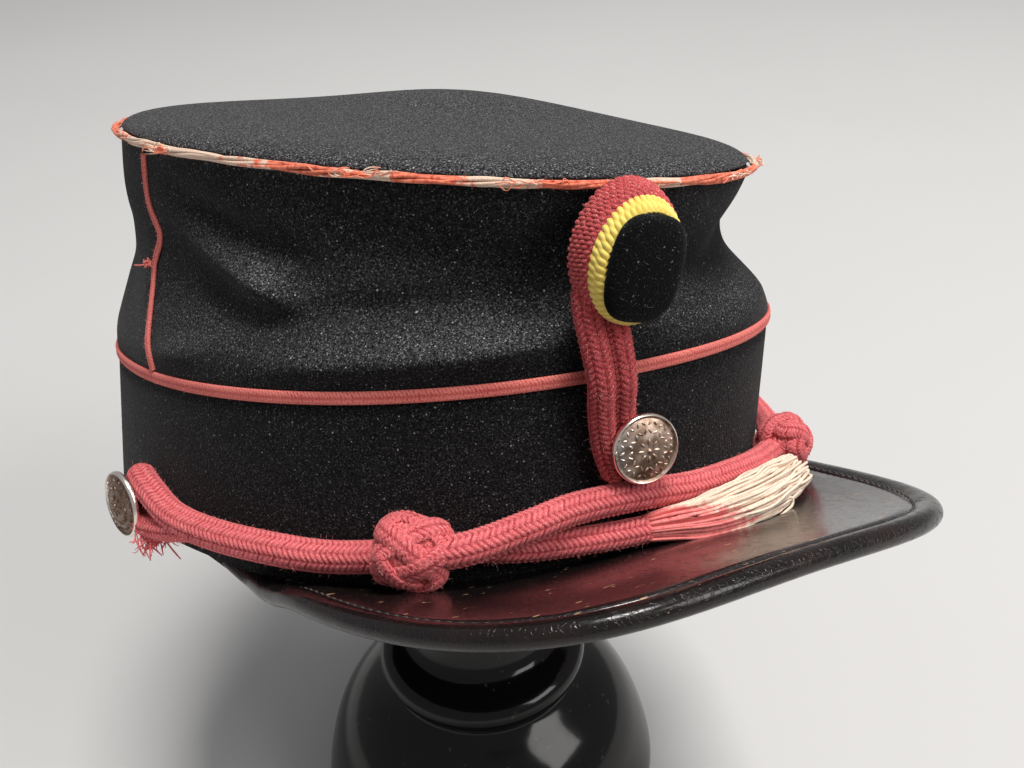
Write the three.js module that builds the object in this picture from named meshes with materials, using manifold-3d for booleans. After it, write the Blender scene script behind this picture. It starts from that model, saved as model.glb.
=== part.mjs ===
// A military kepi of black felt with red trim, resting on a turned hat stand.
// Units are millimetres, +Z is up and the origin is the middle of the stand's underside.
// The cap has its own frame, tipped back on the stand: its peak points to -Y and the
// wearer's left is +X. Angles round the cap start at the peak and grow toward +X.
import * as THREE from "three";
import { mergeVertices } from "three/addons/utils/BufferGeometryUtils.js";
import Module from "manifold-3d";

const wasm = await Module();
wasm.setup();

// How the cap sits: the point of its base plane that the stand's axis passes through,
// the height of that point, and the lean of the cap about a level axis.
const SEAT_POINT = new THREE.Vector3(5, -14, 0);
const SEAT_HEIGHT = 138;
const LEAN = THREE.MathUtils.degToRad(-18);
const LEAN_AXIS_TURN = THREE.MathUtils.degToRad(-30);

const ROUND = 48; // facets round the cap
const STAND_ROUND = 28; // facets round the stand
const GAP = 0.3; // clearance between touching pieces

// Ovals of the cap's wall, from its base up. An oval can be shifted off the middle, and
// its plane can rise toward the wearer's left (riseX) and toward the back (riseY).
const BASE = { length: 99, width: 87, power: 2.2 };
const BAND_TOP = { length: 99, width: 86.2, power: 2.2 };
const CROWN_TOP = { length: 98.2, width: 79.5, power: 2 };
const OVALS = [
  { ...BASE, shiftX: 0, shiftY: 0, height: 0, riseX: 0, riseY: 0 },
  { ...BAND_TOP, shiftX: 2.8, shiftY: -2.8, height: 39.5, riseX: 0.01, riseY: -0.018 },
  { ...CROWN_TOP, shiftX: 4, shiftY: -3.6, height: 90.7, riseX: -0.045, riseY: 0.11 },
];

// Waist, bulges and dents of the soft crown wall. Level 1 is the top of the band and
// level 2 the edge of the top; a negative depth stands out. Spreads are half widths.
const DENTS = [
  { angle: 0, level: 1.5, spreadAngle: 1e6, spreadLevel: 0.28, depth: 3.7 },
  { angle: 0, level: 1.12, spreadAngle: 1e6, spreadLevel: 0.14, depth: -1.4 },
  { angle: 45, level: 1.58, spreadAngle: 32, spreadLevel: 0.3, depth: 6.6 },
  { angle: -20, level: 1.62, spreadAngle: 16, spreadLevel: 0.22, depth: 2.2 },
  { angle: -62, level: 1.5, spreadAngle: 13, spreadLevel: 0.25, depth: 2.4 },
  { angle: -42, level: 1.42, spreadAngle: 12, spreadLevel: 0.2, depth: -2.2 },
  { angle: -32, level: 1.16, spreadAngle: 16, spreadLevel: 0.14, depth: -1.6 },
  { angle: 150, level: 1.5, spreadAngle: 28, spreadLevel: 0.24, depth: 2.5 },
  { angle: -140, level: 1.6, spreadAngle: 22, spreadLevel: 0.24, depth: 2 },
];

const BAND_WALL = 2.8; // felt over card
const CROWN_WALL = 2.4; // felt and its lining cloth
const PIPING_RADIUS = 1.7;
const PIPING_OUT = PIPING_RADIUS + GAP;

const PEAK = { halfWidth: 72.8, backY: -8.8, depth: 141.9, power: 3.467, thickness: 2.6 };
const PEAK_RISE = { atBack: -2.2, perMm: 0.123, droop: 7.3, roll: 0.022, tuck: 2.6 };
const PEAK_PLATE = { firstShare: 0.036, endAngle: 46, seamIn: 1.6, bow: 0.6 };
const BINDING_RADIUS = 2.5;

const CORD_RADIUS = 3.4;
const KNOT = { length: 8.4, height: 7.6, out: 6.4, wrap: 2.2 };
const FRONT_BUTTON = { angle: -1, height: 24.3, out: 6.5, radius: 7.4 };
const SIDE_BUTTON = { angle: 76, height: 9.4, out: 8, radius: 8.1 };

const FELT = 0x15151a;
const RED = 0xb5303c;

function standardMaterial(color, roughness, metalness = 0) {
  return new THREE.MeshStandardMaterial({ color, roughness, metalness });
}

const felt = standardMaterial(FELT, 0.95);
const redWool = standardMaterial(RED, 0.9);
const creamWool = standardMaterial(0xd8b79c, 0.9);
const yellowWool = standardMaterial(0xe3cf62, 0.9);
const patentLeather = standardMaterial(0x141012, 0.25);
const brass = standardMaterial(0x8c6a4a, 0.35, 1);
const blackWood = standardMaterial(0x0e0d0d, 0.15);

// A mesh with shared vertices, so that its surface is one closed sheet.
function piece(name, geometry, material) {
  geometry.deleteAttribute("normal");
  geometry.deleteAttribute("uv");
  const closed = mergeVertices(geometry, 1e-4);
  closed.computeVertexNormals();
  const mesh = new THREE.Mesh(closed, material);
  mesh.name = name;
  return mesh;
}

function toSolid(geometry) {
  geometry.deleteAttribute("normal");
  geometry.deleteAttribute("uv");
  const merged = mergeVertices(geometry, 1e-4);
  const vertProperties = new Float32Array(merged.attributes.position.array);
  const triVerts = new Uint32Array(merged.index.array);
  return new wasm.Manifold(new wasm.Mesh({ numProp: 3, vertProperties, triVerts }));
}

function toGeometry(solid) {
  const mesh = solid.getMesh();
  const geometry = new THREE.BufferGeometry();
  geometry.setAttribute("position", new THREE.BufferAttribute(mesh.vertProperties, 3));
  geometry.setIndex(new THREE.BufferAttribute(mesh.triVerts, 1));
  return geometry;
}

// Moves every vertex of a geometry by a function of its x, y and z.
function warp(geometry, place) {
  const position = geometry.attributes.position;
  for (let i = 0; i < position.count; i += 1) {
    const moved = place(position.getX(i), position.getY(i), position.getZ(i));
    position.setXYZ(i, moved.x, moved.y, moved.z);
  }
  return geometry;
}

// Distance from the middle of an oval to its edge, at an angle from the peak.
function ovalRadius(oval, angle) {
  const across = Math.abs(Math.sin(angle) / oval.width) ** oval.power;
  const along = Math.abs(Math.cos(angle) / oval.length) ** oval.power;
  return (across + along) ** (-1 / oval.power);
}

// A point at a share of the oval's radius plus a distance out, in the oval's own plane.
function ovalPoint(oval, angle, share, out) {
  const radius = ovalRadius(oval, angle) * share + out;
  const x = radius * Math.sin(angle) + oval.shiftX;
  const y = -radius * Math.cos(angle) + oval.shiftY;
  return new THREE.Vector3(x, y, oval.height + oval.riseX * x + oval.riseY * y);
}

function dentDepth(angle, level) {
  let depth = 0;
  for (const dent of DENTS) {
    const turn = THREE.MathUtils.radToDeg(angle) - dent.angle;
    const across = (THREE.MathUtils.euclideanModulo(turn + 180, 360) - 180) / dent.spreadAngle;
    const up = (level - dent.level) / dent.spreadLevel;
    depth += dent.depth * Math.exp(-across * across - up * up);
  }
  // the wall is held straight along the band and along the top's edge
  return depth * Math.min(1, Math.max(0, level - 1) / 0.08) * Math.min(1, (2 - level) / 0.12);
}

// A point of the cap's side, out from the face of the cloth. Levels run as in DENTS.
function sidePoint(angle, level, out) {
  const index = level < 1 ? 0 : 1;
  const low = ovalPoint(OVALS[index], angle, 1, out);
  const high = ovalPoint(OVALS[index + 1], angle, 1, out);
  const point = low.lerp(high, level - index);
  if (level > 1) {
    const inward = dentDepth(angle, level);
    point.x -= inward * Math.sin(angle);
    point.y += inward * Math.cos(angle);
  }
  return point;
}

// A point against the band, by its angle in degrees, height and distance out.
function bandPoint(degrees, height, out) {
  return sidePoint(THREE.MathUtils.degToRad(degrees), height / OVALS[1].height, out);
}

// A wall round the cap. Its section is a closed list of level and distance out.
function ringWall(section) {
  const start = 100;
  const points = section.map(([level, out]) => new THREE.Vector2(start + out, level));
  points.push(points[0].clone());
  const geometry = new THREE.LatheGeometry(points, ROUND).rotateX(Math.PI / 2);
  return warp(geometry, (x, y, z) => sidePoint(Math.atan2(x, -y), z, Math.hypot(x, y) - start));
}

// A round tube along a smooth path, with flat ends. Half of its sides make a half turn.
function tube(points, radius, steps, halfSides) {
  const section = new THREE.Shape();
  section.absarc(0, 0, radius, 0, 2 * Math.PI);
  return new THREE.ExtrudeGeometry(section, {
    steps,
    curveSegments: halfSides,
    bevelEnabled: false,
    extrudePath: new THREE.CatmullRomCurve3(points),
  });
}

// An ellipsoid at a point against the band, wrapped by turns of cord: a tied knot.
function knotSolid(degrees, height, out, grow) {
  const core = new THREE.SphereGeometry(1, 10, 7);
  core.scale(KNOT.length + grow, KNOT.out + grow, KNOT.height + grow);
  let solid = toSolid(core);
  for (const tilt of [0.5, -0.5]) {
    const turn = new THREE.TorusGeometry(KNOT.height - 1.8, KNOT.wrap + grow, 5, 11);
    turn.rotateY(Math.PI / 2 + tilt);
    turn.scale(1, KNOT.out / KNOT.height, 1);
    solid = solid.add(toSolid(turn));
  }
  const place = bandPoint(degrees, height, out);
  const geometry = toGeometry(solid);
  geometry.rotateZ(THREE.MathUtils.degToRad(degrees));
  return toSolid(geometry.translate(place.x, place.y, place.z));
}

// A cord whose route is a table of angle, height and distance out, cut clear of knots.
function cord(route, radius, steps, knots = []) {
  const points = route.map(([degrees, height, out]) => bandPoint(degrees, height, out));
  let solid = toSolid(tube(points, radius, steps, 4));
  for (const knot of knots) {
    solid = solid.subtract(knot);
  }
  const parts = solid.decompose();
  parts.sort((one, other) => other.volume() - one.volume());
  return toGeometry(parts[0]);
}

const cap = new THREE.Group();

// Band: felt over card, straight up from the base to the braid.
function makeBand() {
  const top = 1 - GAP / OVALS[1].height;
  const section = [[0, 0], [0.5, 0], [top, 0], [top, -BAND_WALL], [0.5, -BAND_WALL], [0, -BAND_WALL]];
  return piece("band", ringWall(section), felt);
}
cap.add(makeBand());

// Crown wall: a soft sleeve of felt with a waist, dents and a bulge over the braid.
function makeCrownWall() {
  const outer = [1.004, 1.06, 1.14, 1.24, 1.36, 1.48, 1.6, 1.72, 1.84, 1.985];
  const inner = [1.985, 1.66, 1.33, 1.004];
  const section = outer.map((level) => [level, 0]);
  section.push(...inner.map((level) => [level, -CROWN_WALL]));
  return piece("crown_wall", ringWall(section), felt);
}
cap.add(makeCrownWall());

// Top: a padded disc with a round shoulder, humped toward the back.
const TOP_PROFILE = [
  { share: 0, height: 5 },
  { share: 0.35, height: 4.9 },
  { share: 0.62, height: 4.6 },
  { share: 0.85, height: 4.2 },
  { share: 0.955, height: 3.3 },
  { share: 0.995, height: 1.6 },
  { share: 1, height: 0.3 },
];
const TOP_HUMP = { x: 27, y: 32, height: 7.4, spread: 42 };

function topRise(x, y) {
  const distance = Math.hypot(x - TOP_HUMP.x, y - TOP_HUMP.y) / TOP_HUMP.spread;
  const edge = Math.min(1, (1 - Math.hypot(x / OVALS[2].width, y / OVALS[2].length)) / 0.12);
  return TOP_HUMP.height * Math.exp(-distance * distance) * Math.max(0, edge);
}

function makeTop() {
  const points = TOP_PROFILE.map(({ share, height }) => new THREE.Vector2(100 * share, height));
  const under = [[0.965, 0.3], [0.8, 1.4], [0.4, 1.9], [0, 2.1]];
  points.push(...under.map(([share, height]) => new THREE.Vector2(100 * share, height)));
  points.reverse();
  const geometry = new THREE.LatheGeometry(points, ROUND).rotateX(Math.PI / 2);
  return piece("crown_top", warp(geometry, (x, y, z) => {
    const point = ovalPoint(OVALS[2], Math.atan2(x, -y), Math.hypot(x, y) / 100, 0);
    point.z += z + topRise(point.x - OVALS[2].shiftX, point.y - OVALS[2].shiftY);
    return point;
  }), felt);
}
cap.add(makeTop());

// Piping: a wool cord round the seam of the top.
function makePiping() {
  const section = [];
  for (let i = 0; i < 6; i += 1) {
    const turn = (2 * Math.PI * i) / 6;
    section.push(new THREE.Vector2(100 + PIPING_RADIUS * Math.cos(turn), PIPING_RADIUS * Math.sin(turn)));
  }
  section.push(section[0].clone());
  const geometry = new THREE.LatheGeometry(section, ROUND).rotateX(Math.PI / 2);
  return piece("top_piping", warp(geometry, (x, y, z) => {
    const out = Math.hypot(x, y) - 100 + PIPING_OUT;
    const point = ovalPoint(OVALS[2], Math.atan2(x, -y), 1, out);
    point.z += z;
    return point;
  }), redWool);
}
cap.add(makePiping());

// Band braid: a flat plait, wider than it is thick, over the seam of band and crown.
const BRAID = { width: 3.6, thickness: 1.2 };

function makeBandBraid() {
  const face = 1.8 * GAP;
  const section = [
    [-BRAID.width / 2, face],
    [-BRAID.width / 2 + 0.5, face + BRAID.thickness],
    [BRAID.width / 2 - 0.5, face + BRAID.thickness],
    [BRAID.width / 2, face],
  ];
  const points = section.map(([up, out]) => new THREE.Vector2(100 + out, up));
  points.push(points[0].clone());
  const geometry = new THREE.LatheGeometry(points, ROUND).rotateX(Math.PI / 2);
  return piece("band_braid", warp(geometry, (x, y, z) => {
    const angle = Math.atan2(x, -y);
    const out = Math.hypot(x, y) - 100;
    const swell = Math.max(0, -dentDepth(angle, 1 + Math.max(0, z + 0.4) / 51));
    const point = ovalPoint(OVALS[1], angle, 1, out + swell);
    point.z += z;
    return point;
  }), redWool);
}
cap.add(makeBandBraid());

// Side braids: thin upright plaits on both flanks, from the band braid to the piping.
const SIDE_BRAID = [
  { degrees: 74.3, level: 1.06 },
  { degrees: 75.6, level: 1.14 },
  { degrees: 77, level: 1.24 },
  { degrees: 79.4, level: 1.36 },
  { degrees: 81.2, level: 1.48 },
  { degrees: 79.6, level: 1.6 },
  { degrees: 82.3, level: 1.72 },
  { degrees: 82, level: 1.84 },
  { degrees: 81.3, level: 1.95 },
];

function makeSideBraid(name, side) {
  const rows = SIDE_BRAID.length - 1;
  const strip = new THREE.BoxGeometry(3, 1, 1, 1, 1, rows);
  return piece(name, warp(strip, (x, y, z) => {
    const row = SIDE_BRAID[Math.round((z + 0.5) * rows)];
    const angle = THREE.MathUtils.degToRad(side * row.degrees);
    const point = sidePoint(angle, row.level, 2 * GAP + 1.2 * (0.5 - y));
    point.x += x * Math.cos(angle);
    point.y += x * Math.sin(angle);
    return point;
  }), redWool);
}
cap.add(makeSideBraid("side_braid_right", -1));
cap.add(makeSideBraid("side_braid_left", 1));

// Peak: the line that its binding follows, from the wearer's left round to the right.
function peakEdge(share) {
  const turn = THREE.MathUtils.lerp(0.105, Math.PI - 0.105, share);
  const across = Math.sign(Math.cos(turn)) * Math.abs(Math.cos(turn)) ** (2 / PEAK.power);
  const y = PEAK.backY - PEAK.depth * Math.sin(turn) ** (2 / PEAK.power);
  const x = PEAK.halfWidth * across;
  const z = PEAK_RISE.atBack + PEAK_RISE.perMm * (PEAK.backY - y) - PEAK_RISE.roll * x;
  // the ends droop, and tuck in under the edge of the band
  const tuck = PEAK_RISE.tuck * (1 - THREE.MathUtils.smoothstep(-y, 66, 84));
  return new THREE.Vector3(x, y, z - PEAK_RISE.droop * across ** 2 - tuck);
}

// The line just inside the binding, where the plate of the peak ends.
function plateEdge(share) {
  const edge = peakEdge(share);
  const along = peakEdge(share + 0.004).sub(peakEdge(share - 0.004)).setZ(0).normalize();
  const inset = BINDING_RADIUS + 2 * GAP;
  return edge.add(new THREE.Vector3(-along.y, along.x, 0).multiplyScalar(-inset));
}

// The peak is a curved plate sewn under the edge of the band.
function makePeak() {
  const plate = new THREE.BoxGeometry(1, 1, 1, 32, 4, 1);
  return piece("peak", warp(plate, (x, y, z) => {
    const { firstShare, endAngle, seamIn, bow } = PEAK_PLATE;
    const edge = plateEdge(THREE.MathUtils.lerp(firstShare, 1 - firstShare, 0.5 - x));
    const seam = ovalPoint(OVALS[0], THREE.MathUtils.degToRad(2 * x * endAngle), 1, -seamIn);
    seam.z = -3 * GAP - PEAK.thickness / 2;
    const point = seam.lerp(edge, 0.5 - y);
    point.z += z * PEAK.thickness + bow * Math.sin(Math.PI * (0.5 - y)) ** 2;
    return point;
  }), patentLeather);
}
cap.add(makePeak());

// Binding: a rolled strip of leather round the edge of the peak.
function makeBinding() {
  const spans = 32;
  const points = [];
  for (let i = 0; i <= spans; i += 1) {
    points.push(peakEdge(i / spans));
  }
  return piece("peak_binding", tube(points, BINDING_RADIUS, 42, 4), patentLeather);
}
cap.add(makeBinding());

// Chin cord: a thick round cord across the front with two knots, held by side buttons.
const RIGHT_KNOT = { degrees: -28.4, height: 10.2, out: 7.2 };
const LEFT_KNOT = { degrees: 33.2, height: 9.2, out: 7.2 };
const RIGHT_ROUTE = [
  [-74.5, 15.4, 3.9],
  [-71, 13.2, 3.9],
  [-64.5, 9.7, 3.9],
  [-56, 8.6, 3.9],
  [-46, 8, 3.9],
  [-38, 7.6, 4.2],
  [-28.4, 8.6, 5.5],
];
const FRONT_ROUTE = [
  [-28.4, 9.6, 8.4],
  [-22.5, 11.2, 9.6],
  [-16, 13.3, 7.5],
  [-10, 14.4, 4.8],
  [-2, 14, 4],
  [8, 11.8, 3.9],
  [17, 10.4, 3.9],
  [25, 9.2, 4.6],
  [33.2, 9, 6],
];
const LEFT_ROUTE = [
  [33.2, 8.4, 5.5],
  [45, 7.6, 4.2],
  [56, 8.2, 3.9],
  [66, 10.4, 3.9],
  [72, 14, 3.9],
  [74.5, 15.4, 3.9],
];
const TAIL_ROUTE = [
  [-28.4, 9.8, 4.2],
  [-22.5, 8.6, 3.4],
  [-16, 7.2, 3.6],
  [-10, 6.8, 4.4],
  [-4, 6.4, 5.4],
  [1, 6.2, 6.4],
];
const TAIL_RADIUS = 2.9;

function knotAt(knot, grow) {
  return knotSolid(knot.degrees, knot.height, knot.out, grow);
}

function makeChinCord() {
  const rightKnot = knotAt(RIGHT_KNOT, GAP);
  const leftKnot = knotAt(LEFT_KNOT, GAP);
  const right = cord(RIGHT_ROUTE, CORD_RADIUS, 22, [rightKnot]);
  const front = cord(FRONT_ROUTE, CORD_RADIUS, 30, [rightKnot, leftKnot]);
  const left = cord(LEFT_ROUTE, CORD_RADIUS, 20, [leftKnot]);
  const tail = cord(TAIL_ROUTE, TAIL_RADIUS, 20, [rightKnot]);
  cap.add(piece("chin_cord_right", right, redWool));
  cap.add(piece("chin_cord_front", front, redWool));
  cap.add(piece("chin_cord_left", left, redWool));
  cap.add(piece("cord_tail", tail, redWool));
  cap.add(piece("knot_right", toGeometry(knotAt(RIGHT_KNOT, 0)), redWool));
  cap.add(piece("knot_left", toGeometry(knotAt(LEFT_KNOT, 0)), redWool));
}
makeChinCord();

// Tassel: locks of wool that fan out of the cord's end and lie on the peak.
const TASSEL_LINE = [
  { x: 5, y: -109, z: 7.4, radius: 2.2 },
  { x: 12, y: -111.6, z: 8.7, radius: 3.6 },
  { x: 24, y: -110.8, z: 8.6, radius: 4.3 },
  { x: 37, y: -106.6, z: 7.6, radius: 4.8 },
  { x: 48.6, y: -100.6, z: 6.6, radius: 4.6 },
];
const TASSEL_LOCKS = [
  { across: -0.42, up: -0.1 },
  { across: 0.42, up: -0.1 },
  { across: 0, up: 0.35 },
];

function makeTassel() {
  let solid = null;
  for (const lock of TASSEL_LOCKS) {
    const points = TASSEL_LINE.map(({ x, y, z, radius }) => {
      return new THREE.Vector3(x, y + lock.across * radius, z + lock.up * radius);
    });
    const strand = toSolid(tube(points, 2.6, 9, 4));
    solid = solid ? solid.add(strand) : strand;
  }
  return piece("tassel", toGeometry(solid), creamWool);
}
cap.add(makeTassel());

// Cockade: an oval cone of wound wool on the front, red and then yellow round a black
// face. It leans over the edge of the top, so its face looks a little down.
const COCKADE = { x: -5, out: 2.2, z: 68.2, halfWidth: 11, halfHeight: 13.1 };
const COCKADE_TURN = { nod: THREE.MathUtils.degToRad(11), roll: THREE.MathUtils.degToRad(10), sag: 0.22 };
// Each layer's section: share of the cockade's width, and depth from the wall of the cap.
const RED_SECTION = [[0, 0.2], [0.93, 0.2], [1, 1.6], [0.99, 4], [0.93, 6.4], [0, 6.4]];
const YELLOW_SECTION = [[0, 6.7], [0.92, 6.7], [0.88, 8.6], [0.83, 9.4], [0, 9.4]];
const FACE_SECTION = [[0, 9.7], [0.81, 9.7], [0.83, 10.8], [0.78, 12], [0.6, 12.7], [0, 13.1]];

function makeCockadeLayer(name, profile, material) {
  const points = profile.map(([share, depth]) => new THREE.Vector2(share, depth));
  const layer = new THREE.LatheGeometry(points, 24);
  warp(layer, (x, y, z) => {
    return new THREE.Vector3(COCKADE.halfWidth * x, -y, -COCKADE.halfHeight * z - COCKADE_TURN.sag * y);
  });
  layer.rotateY(COCKADE_TURN.roll).rotateX(COCKADE_TURN.nod);
  const face = bandPoint(0, OVALS[1].height, 0).y;
  return piece(name, layer.translate(COCKADE.x, face - COCKADE.out, COCKADE.z), material);
}
cap.add(makeCockadeLayer("cockade_red", RED_SECTION, redWool));
cap.add(makeCockadeLayer("cockade_yellow", YELLOW_SECTION, yellowWool));
cap.add(makeCockadeLayer("cockade_face", FACE_SECTION, felt));

// Cord loop: two lengths of cord side by side, from under the cockade to the button.
const LOOP_RADIUS = 2.6;
const LOOP_RIGHT_ROUTE = [
  { x: -13.2, out: 4, height: 53 },
  { x: -12.5, out: 5.1, height: 47.5 },
  { x: -11.8, out: 5.5, height: 41 },
  { x: -10.5, out: 3.8, height: 34 },
  { x: -8.5, out: 3, height: 26 },
  { x: -6.4, out: 3.1, height: 20.4 },
];
const LOOP_LEFT_ROUTE = [
  { x: -7.2, out: 4, height: 53 },
  { x: -6.6, out: 5.1, height: 47.5 },
  { x: -6, out: 5.5, height: 41 },
  { x: -4.7, out: 3.4, height: 34 },
  { x: -4, out: 2.9, height: 30.6 },
];

function makeLoopCord(name, route) {
  const points = route.map(({ x, out, height }) => {
    const face = bandPoint(0, Math.min(height, OVALS[1].height), 0).y;
    return new THREE.Vector3(x, face - out, height);
  });
  return piece(name, tube(points, LOOP_RADIUS, 12, 4), redWool);
}
cap.add(makeLoopCord("cockade_loop_right", LOOP_RIGHT_ROUTE));
cap.add(makeLoopCord("cockade_loop_left", LOOP_LEFT_ROUTE));

// Buttons: a domed brass face with a beaded rim and a raised ring, on a short shank.
const BUTTON_PROFILE = [
  { share: 0, out: -1 },
  { share: 0.26, out: -1 },
  { share: 0.26, out: 0 },
  { share: 0.9, out: 0.2 },
  { share: 1, out: 1.1 },
  { share: 0.93, out: 2 },
  { share: 0.84, out: 1.8 },
  { share: 0.5, out: 2.8 },
  { share: 0, out: 3.2 },
];

function makeButton(name, { angle, height, out, radius }, side) {
  const points = BUTTON_PROFILE.map((row) => {
    const depth = row.out < 0 ? -(out - 2 * GAP) : row.out;
    return new THREE.Vector2(radius * row.share, depth);
  });
  const button = new THREE.LatheGeometry(points, 16).rotateX(Math.PI);
  const turn = THREE.MathUtils.degToRad(side * angle);
  const place = bandPoint(side * angle, height, out);
  button.rotateZ(turn).translate(place.x, place.y, place.z);
  return piece(name, button, brass);
}
cap.add(makeButton("front_button", FRONT_BUTTON, 1));
cap.add(makeButton("side_button_right", SIDE_BUTTON, -1));
cap.add(makeButton("side_button_left", SIDE_BUTTON, 1));

// Stand: one turning of black lacquered wood, with a bell foot, a collar ring, a slim
// post and a mushroom head that carries the cap's top.
// Each part of the turning's profile: radius and height, from the foot up.
const STAND_PROFILE = {
  foot: [[0, 0], [57.5, 0], [59, 3], [58.5, 8]],
  bell: [[55.5, 20], [52.5, 28], [48, 35.5], [41, 42], [34.5, 46], [31.5, 49]],
  collar: [[33.5, 52], [35.5, 56.5], [33.5, 61], [26, 62.5], [21.5, 65.5]],
  post: [[18, 84], [17.5, 130], [21, 150]],
  headRim: [[43, 169.5], [46.5, 175], [46, 180]],
};
const HEAD = { radius: 62, height: 164.5 };

function makeStand() {
  const rows = Object.values(STAND_PROFILE).flat();
  const points = rows.map(([radius, height]) => new THREE.Vector2(radius, height));
  for (const polar of [36, 24, 12]) {
    const turn = THREE.MathUtils.degToRad(polar);
    const radius = HEAD.radius * Math.sin(turn);
    points.push(new THREE.Vector2(radius, HEAD.height + HEAD.radius * Math.cos(turn)));
  }
  points.push(new THREE.Vector2(0, HEAD.height + HEAD.radius));
  return piece("stand", new THREE.LatheGeometry(points, STAND_ROUND).rotateX(Math.PI / 2), blackWood);
}

const leanAxis = new THREE.Vector3(Math.cos(LEAN_AXIS_TURN), Math.sin(LEAN_AXIS_TURN), 0);
cap.quaternion.setFromAxisAngle(leanAxis, LEAN);
cap.position.copy(SEAT_POINT).applyQuaternion(cap.quaternion).negate();
cap.position.z += SEAT_HEIGHT;

const group = new THREE.Group();
group.name = "kepi_on_stand";
group.add(makeStand());
group.add(cap);

export default group;
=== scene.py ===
# A military kepi of black felt with red wool trim, resting on a black turned hat stand.
# Sizes are metres. Angles in tables are degrees round the cap, from its peak toward the
# wearer's left, and heights are above the cap's base.
import math

import bpy
import numpy as np
from mathutils import Matrix, Vector
from mathutils.bvhtree import BVHTree


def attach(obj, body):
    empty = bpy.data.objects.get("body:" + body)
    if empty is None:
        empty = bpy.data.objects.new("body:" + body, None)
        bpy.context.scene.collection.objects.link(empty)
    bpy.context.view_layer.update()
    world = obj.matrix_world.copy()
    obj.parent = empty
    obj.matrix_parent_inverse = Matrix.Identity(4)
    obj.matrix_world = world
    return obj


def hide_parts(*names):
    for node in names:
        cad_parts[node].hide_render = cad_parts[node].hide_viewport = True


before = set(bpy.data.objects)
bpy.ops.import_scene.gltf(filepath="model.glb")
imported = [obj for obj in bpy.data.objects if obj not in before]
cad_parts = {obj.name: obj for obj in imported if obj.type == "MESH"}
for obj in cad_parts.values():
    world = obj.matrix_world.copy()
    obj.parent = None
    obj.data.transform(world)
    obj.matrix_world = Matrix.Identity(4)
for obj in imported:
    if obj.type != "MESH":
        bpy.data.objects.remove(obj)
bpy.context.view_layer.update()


# Stand: one turning of hardwood, stained and lacquered black. The bell foot, collar and
# post come off the lathe in one piece, and the mushroom head carries the cap's top.
LACQUER = (0.004, 0.0036, 0.0036, 1)
LACQUER_WORN = (0.035, 0.024, 0.018, 1)


class Shade:
    """One socket of a material's nodes. Arithmetic on it adds Math nodes."""

    def __init__(self, tree, socket=None):
        self.tree = tree
        self.socket = socket

    def node(self, kind, settings, inputs, out=0):
        """A new node, by its settings and the values or links of its sockets."""
        made = self.tree.nodes.new(kind)
        for key, value in settings.items():
            setattr(made, key, value)
        for key, value in inputs.items():
            if isinstance(value, Shade):
                self.tree.links.new(value.socket, made.inputs[key])
            else:
                made.inputs[key].default_value = value
        return Shade(self.tree, made.outputs[out])

    def maths(self, operation, *values):
        return self.node("ShaderNodeMath", {"operation": operation}, dict(enumerate(values)))

    def __add__(self, other):
        return self.maths("ADD", self, other)

    def __sub__(self, other):
        return self.maths("SUBTRACT", self, other)

    def __rsub__(self, other):
        return self.maths("SUBTRACT", other, self)

    def __mul__(self, other):
        return self.maths("MULTIPLY", self, other)

    __radd__ = __add__
    __rmul__ = __mul__

    def clamp(self):
        return self.node("ShaderNodeClamp", {}, {"Value": self})

    def step(self, low, high):
        """0 below low, 1 above high, and smooth between them."""
        settings = {"interpolation_type": "SMOOTHSTEP"}
        return self.node("ShaderNodeMapRange", settings, {"Value": self, "From Min": low, "From Max": high})

    def mix(self, dark, light):
        """A colour between two colours, by this socket."""
        settings = {"data_type": "RGBA"}
        inputs = {"Factor": self, 6: dark, 7: light}
        return self.node("ShaderNodeMix", settings, inputs, 2)

    def noise(self, scale, detail, stretch=None):
        """Cloudy noise at this place, from 0 to 1. Its grain is about 1 / scale millimetres."""
        place = self
        if stretch:
            place = self.node("ShaderNodeVectorMath", {"operation": "MULTIPLY"}, {0: self, 1: stretch})
        return self.node("ShaderNodeTexNoise", {}, {"Vector": place, "Scale": scale, "Detail": detail})

    def attribute(self, name):
        return self.node("ShaderNodeAttribute", {"attribute_name": name}, {}, "Fac")

    def bump(self, metres, strength):
        """Normals that take this socket for a height."""
        return self.node("ShaderNodeBump", {}, {"Height": self, "Distance": metres, "Strength": strength})


# The cap's own frame on the stand: tipped back about a level axis, over the stand's axis.
SEAT = Vector((0.005, -0.014, 0))
SEAT_HEIGHT = 0.138
LEAN = math.radians(-18)
LEAN_AXIS_TURN = math.radians(-30)
LEAN_AXIS = Vector((math.cos(LEAN_AXIS_TURN), math.sin(LEAN_AXIS_TURN), 0))
CAP = (
    Matrix.Translation((0, 0, SEAT_HEIGHT))
    @ Matrix.Rotation(LEAN, 4, LEAN_AXIS)
    @ Matrix.Translation(-SEAT)
)
CAP_BACK = CAP.inverted()


def finish(name, roughness, **constants):
    """A new material, its place in the cap's millimetres, and its shader."""
    material = bpy.data.materials.new(name)
    material.use_nodes = True
    tree = material.node_tree
    shader = tree.nodes["Principled BSDF"]
    shader.inputs["Roughness"].default_value = roughness
    for key, value in constants.items():
        shader.inputs[key.replace("_", " ")].default_value = value
    here = Shade(tree).node("ShaderNodeTexCoord", {}, {}, "Object")
    place = here.node("ShaderNodeMapping", {}, {
        "Vector": here,
        "Location": CAP_BACK.translation * 1000,
        "Rotation": CAP_BACK.to_euler(),
        "Scale": (1000, 1000, 1000),
    })
    return material, place, shader


def feed(shader, **sockets):
    """Links worked-out sockets to the shader's inputs."""
    for key, value in sockets.items():
        value.tree.links.new(value.socket, shader.inputs[key.replace("_", " ")])


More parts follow.
